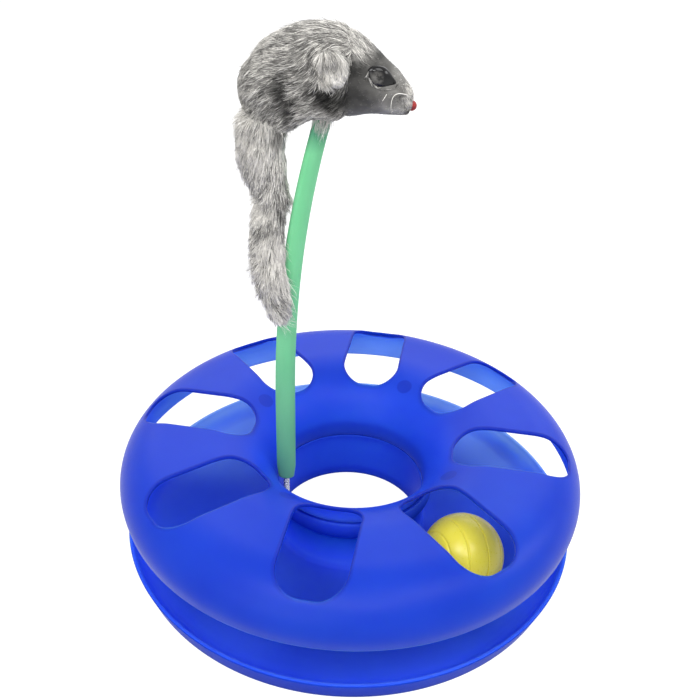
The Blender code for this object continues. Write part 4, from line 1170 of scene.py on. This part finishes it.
def make_eye(name, side):
    """A glossy oval drawn out towards the nose, with a rim of fine pale hair below it."""
    verts, quads = ball_grid(40, 48)
    taper = 1 - 0.5 * smooth_step(-0.2, 1.0, verts[:, 0])
    verts = verts * np.array(EYE_HALF)
    verts[:, 1] *= taper
    verts[:, 2] *= taper
    spin = Matrix.Rotation(radians(-EYE_TOE_IN * side), 3, "Z") @ Matrix.Rotation(radians(EYE_TILT), 3, "Y")
    spin = np.array(spin).T
    middle = mouse_point(EYE_PLACE, side)
    eye = show("mouse_" + name, weld(mesh_of(name, verts @ spin + middle, quads)), BLACK)
    stand_for(eye, name, "rod")
    rng = np.random.default_rng(61 + side)
    turn = np.radians(rng.uniform(175, 352, RIM_STRANDS))
    narrow = 1 - 0.22 * smooth_step(0, 1, np.cos(turn))
    around = columns(np.cos(turn), 0.75 * side, np.sin(turn) * narrow)
    around *= rng.uniform(0.93, 1.03, (RIM_STRANDS, 1))
    along = columns(-np.sin(turn) * EYE_HALF[0], 0, np.cos(turn) * EYE_HALF[2])
    out = columns(0 * turn, side, -0.3)
    roots = around * np.array(EYE_HALF) @ spin + middle
    rod_fur("mouse_%s_rim" % name, roots, unit(out @ spin), unit(along @ spin), 2.4, 0.05, 0.08, 0.62, rng,
            clump=0.2, stray=0.0, guard=0.1)


def make_nose():
    verts, quads = ball_grid(24, 28)
    verts = verts * np.array((0.95, 1.05, 1.0))
    verts[:, 1] *= 1 + 0.22 * verts[:, 2]
    verts *= NOSE_RADIUS * (1 + 0.04 * lumps(verts, 0.4, 9))[:, None]
    nose = show("mouse_nose", weld(mesh_of("nose", verts + mouse_point(NOSE_PLACE), quads)), RED)
    stand_for(nose, "nose", "rod")


def through(points, steps):
    """A smooth line through points."""
    points = np.array(points, float)
    ends = np.concatenate((2 * points[:1] - points[1:2], points, 2 * points[-1:] - points[-2:-1]))
    line = []
    for a, b, c, d in zip(ends, ends[1:], ends[2:], ends[3:]):
        for share in np.arange(steps) / steps:
            line.append(b + 0.5 * share * (c - a + share * (2 * a - 5 * b + 4 * c - d
                                                            + share * (3 * (b - c) + d - a))))
    return np.array(line + [points[-1]])


def make_whisker(name, side, offsets):
    line = through([mouse_point(offset, side) for offset in offsets], 6)
    radii = WHISKER_RADIUS * (1 - 0.75 * np.linspace(0, 1, len(line)) ** 1.5)
    whisker = show("mouse_" + name, weld(mesh_of(name, *sweep(line, radii, 8))), BRISTLE)
    stand_for(whisker, name, "rod")


# Tail

def tail_rows(top, bottom, top_radius, bottom_radius, bow, end):
    """Centre line and radius of a length of tail: a half ball at its pivot, a soft swell, and its lower end."""
    rows = []
    for turn in np.radians(np.linspace(*TAIL_CAP, TAIL_CAP_ROWS)):
        rows.append((*(top + (0, 0, top_radius * sin(turn))), top_radius * cos(turn)))
    for share in np.linspace(0, 1, TAIL_ROWS):
        radius = top_radius + (bottom_radius - top_radius) * share + TAIL_BELLY * sin(pi * share)
        rows.append((*(top + (bottom - top) * share - (4 * bow * share * (1 - share), 0, 0)), radius))
    for turn in np.radians(np.linspace(*TAIL_CAP[::-1], TAIL_CAP_ROWS)):
        rows.append((*(bottom - (0, 0, end * sin(turn))), bottom_radius * cos(turn)))
    return np.array(rows)


def upper_hair(height):
    """Length and lift of the upper tail's hair, the same at every height."""
    return 6.0, 0.26


def lower_hair(height):
    """Length and lift of the lower tail's hair, fuller below its middle and short at its end."""
    return (6.4 + 1.4 * smooth_step(174, 162, height) - 4.0 * smooth_step(152, 138, height),
            0.3 + 0.12 * smooth_step(174, 158, height))


def make_tail(name, rows, count, hair, seed):
    """One length of tail, with its hair, in place of the CAD node of its name."""
    angle = 2 * pi * np.arange(TAIL_SIDES) / TAIL_SIDES
    ring = columns(np.cos(angle), np.sin(angle), 0)
    verts = (rows[:, None, :3] + rows[:, None, 3:] * ring).reshape(-1, 3)
    quads = outward_faces(verts, grid_quads(len(rows), TAIL_SIDES))
    verts, quads, normals = roughened(verts, quads, (0.45, 7.0, seed), (0.2, 3.0, seed + 1))
    fans = []
    for cap in (np.arange(TAIL_SIDES)[::-1], (len(rows) - 1) * TAIL_SIDES + np.arange(TAIL_SIDES)):
        hub = len(verts)
        verts = np.concatenate((verts, verts[cap].mean(0)[None]))
        fans.append(columns(cap, np.roll(cap, -1), hub))
    mesh = weld(mesh_of(name + "_skin", verts, quads, np.concatenate(fans)))
    # painted shade: the tail's skin is drawn darker than its hair
    pieces = [soft_skin(mesh, name, tail_tone(points_of(mesh) / MM, seed) * 0.9)]
    rng = np.random.default_rng(seed)
    roots, out = scatter(verts, quads, normals, count, rng)
    across, _, height = roots.T
    lean = 0.9 * smooth_step(168, 146, height) * smooth_step(-46, -39, across)
    lean -= 0.5 * smooth_step(178, 168, height) * smooth_step(-41, -46, across)
    flow = lie(columns(lean, 0, -1) + 0.25 * np.cross(out, (0, 0, 1.0)), out)
    length, lift = hair(height)
    length = length * rng.uniform(0.7, 1.4, count)
    pieces += make_fur(name + "_fur", roots, out, flow, length, lift, 0.095, tail_tone(roots, seed), rng,
                       clump=0.5, lock=8, contrast=1.6, guard=0.2, shade=PALE_SHADE)
    low = np.flatnonzero((height < 178) & (across > -40) & (out[:, 1] < 0.3))
    if len(low):
        pick = low[rng.permutation(len(low))[:WISPS]]
        way = lie(np.tile((0.8, -0.1, -0.6), (len(pick), 1)), out[pick])
        pieces += make_fur(name + "_wisps", roots[pick], out[pick], way, rng.uniform(6, 12, len(pick)),
                           0.35, 0.055, 0.95, rng, clump=0.0, shade=PALE_SHADE)
    for piece in pieces:
        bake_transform(piece)


def make_tails():
    cuff = TAIL_BEND + (0, 0, TAIL_CUFF)
    upper = tail_rows(TAIL_PIVOT, cuff, TAIL_ROOT_RADIUS, TAIL_BEND_RADIUS + TAIL_BELLY, TAIL_BOWS[0],
                      TAIL_ENDS[0])
    lower = tail_rows(TAIL_BEND, TAIL_TIP, TAIL_BEND_RADIUS, TAIL_TIP_RADIUS, TAIL_BOWS[1], TAIL_ENDS[1])
    make_tail("tail_upper", upper, TAIL_STRANDS[0], upper_hair, 31)
    make_tail("tail_lower", lower, TAIL_STRANDS[1], lower_hair, 41)


# Stage

def make_camera():
    data = bpy.data.cameras.new("camera")
    data.sensor_width = SENSOR
    data.lens = LENS
    data.clip_start = 0.01
    camera = linked("camera", data)
    ahead = CAMERA_AHEAD.normalized()
    right = (CAMERA_RIGHT - ahead * CAMERA_RIGHT.dot(ahead)).normalized()
    turn = Matrix((right, right.cross(ahead), -ahead)).transposed().to_4x4()
    camera.matrix_world = Matrix.Translation(CAMERA_PLACE) @ turn
    bpy.context.scene.camera = camera


def seen_or_lit(tree, lit, seen):
    """One shader for light, and another for rays that show the backdrop: straight, mirrored or through."""
    path = add_node(tree, "LightPath")
    rays = [path.outputs["Is %s Ray" % kind] for kind in ("Camera", "Glossy", "Transmission")]
    share = joined(tree, rays, "MAXIMUM")
    return add_node(tree, "MixShader", {0: share, 1: lit.outputs[0], 2: seen.outputs[0]}).outputs[0]


def make_world():
    world = bpy.data.worlds.new("studio")
    bpy.context.scene.world = world
    world.use_nodes = True
    tree = world.node_tree
    lit = tree.nodes["Background"]
    lit.inputs["Color"].default_value = WHITE
    lit.inputs["Strength"].default_value = WORLD_LIGHT
    seen = add_node(tree, "Background", {"Color": WHITE, "Strength": 1.0})
    tree.links.new(seen_or_lit(tree, lit, seen), tree.nodes["World Output"].inputs["Surface"])


def make_floor():
    """A plane that looks white and keeps the shadow."""
    mesh = bpy.data.meshes.new("floor")
    corners = [(x * FLOOR_REACH, y * FLOOR_REACH, 0) for x, y in ((-1, -1), (1, -1), (1, 1), (-1, 1))]
    mesh.from_pydata(corners, [], [(0, 1, 2, 3)])
    material = bpy.data.materials.new("floor")
    material.use_nodes = True
    tree = material.node_tree
    tree.nodes.remove(tree.nodes["Principled BSDF"])
    lit, matt = (add_node(tree, "BsdfDiffuse", {"Color": (grey, grey, grey, 1)})
                 for grey in (FLOOR_GREY, FLOOR_SEEN))
    glow = add_node(tree, "Emission", {"Color": WHITE, "Strength": FLOOR_GLOW})
    seen = add_node(tree, "AddShader", {0: matt.outputs[0], 1: glow.outputs[0]})
    tree.links.new(seen_or_lit(tree, lit, seen), tree.nodes["Material Output"].inputs["Surface"])
    show("floor", mesh, material)


def make_lamps():
    for name, place, size, power in LAMPS:
        data = bpy.data.lights.new(name, "AREA")
        data.shape = "RECTANGLE"
        data.size, data.size_y = size
        data.energy = power
        lamp = linked(name, data)
        lamp.location = place
        lamp.rotation_euler = (LAMP_TARGET - Vector(place)).to_track_quat("-Z", "Y").to_euler()


make_camera()
make_world()
make_floor()
make_lamps()
bpy.context.scene.view_settings.view_transform = "Standard"
make_top_shell()
make_base_shell()
make_ball()
make_sleeve()
make_spring()
dress_hidden()
head = head_form()
body = body_form()
make_body(*body, inside_of(*head[:2]))
make_head(*head, inside_of(*body[:2]))
make_throat()
for side_name, side in (("left", 1), ("right", -1)):
    make_ear("ear_" + side_name, side, 51 + side)
    make_eye("eye_" + side_name, side)
    for k, line in enumerate(WHISKER_LINES):
        make_whisker("whisker_%s_%d" % (side_name, k + 1), side, line)
make_nose()
make_tails()
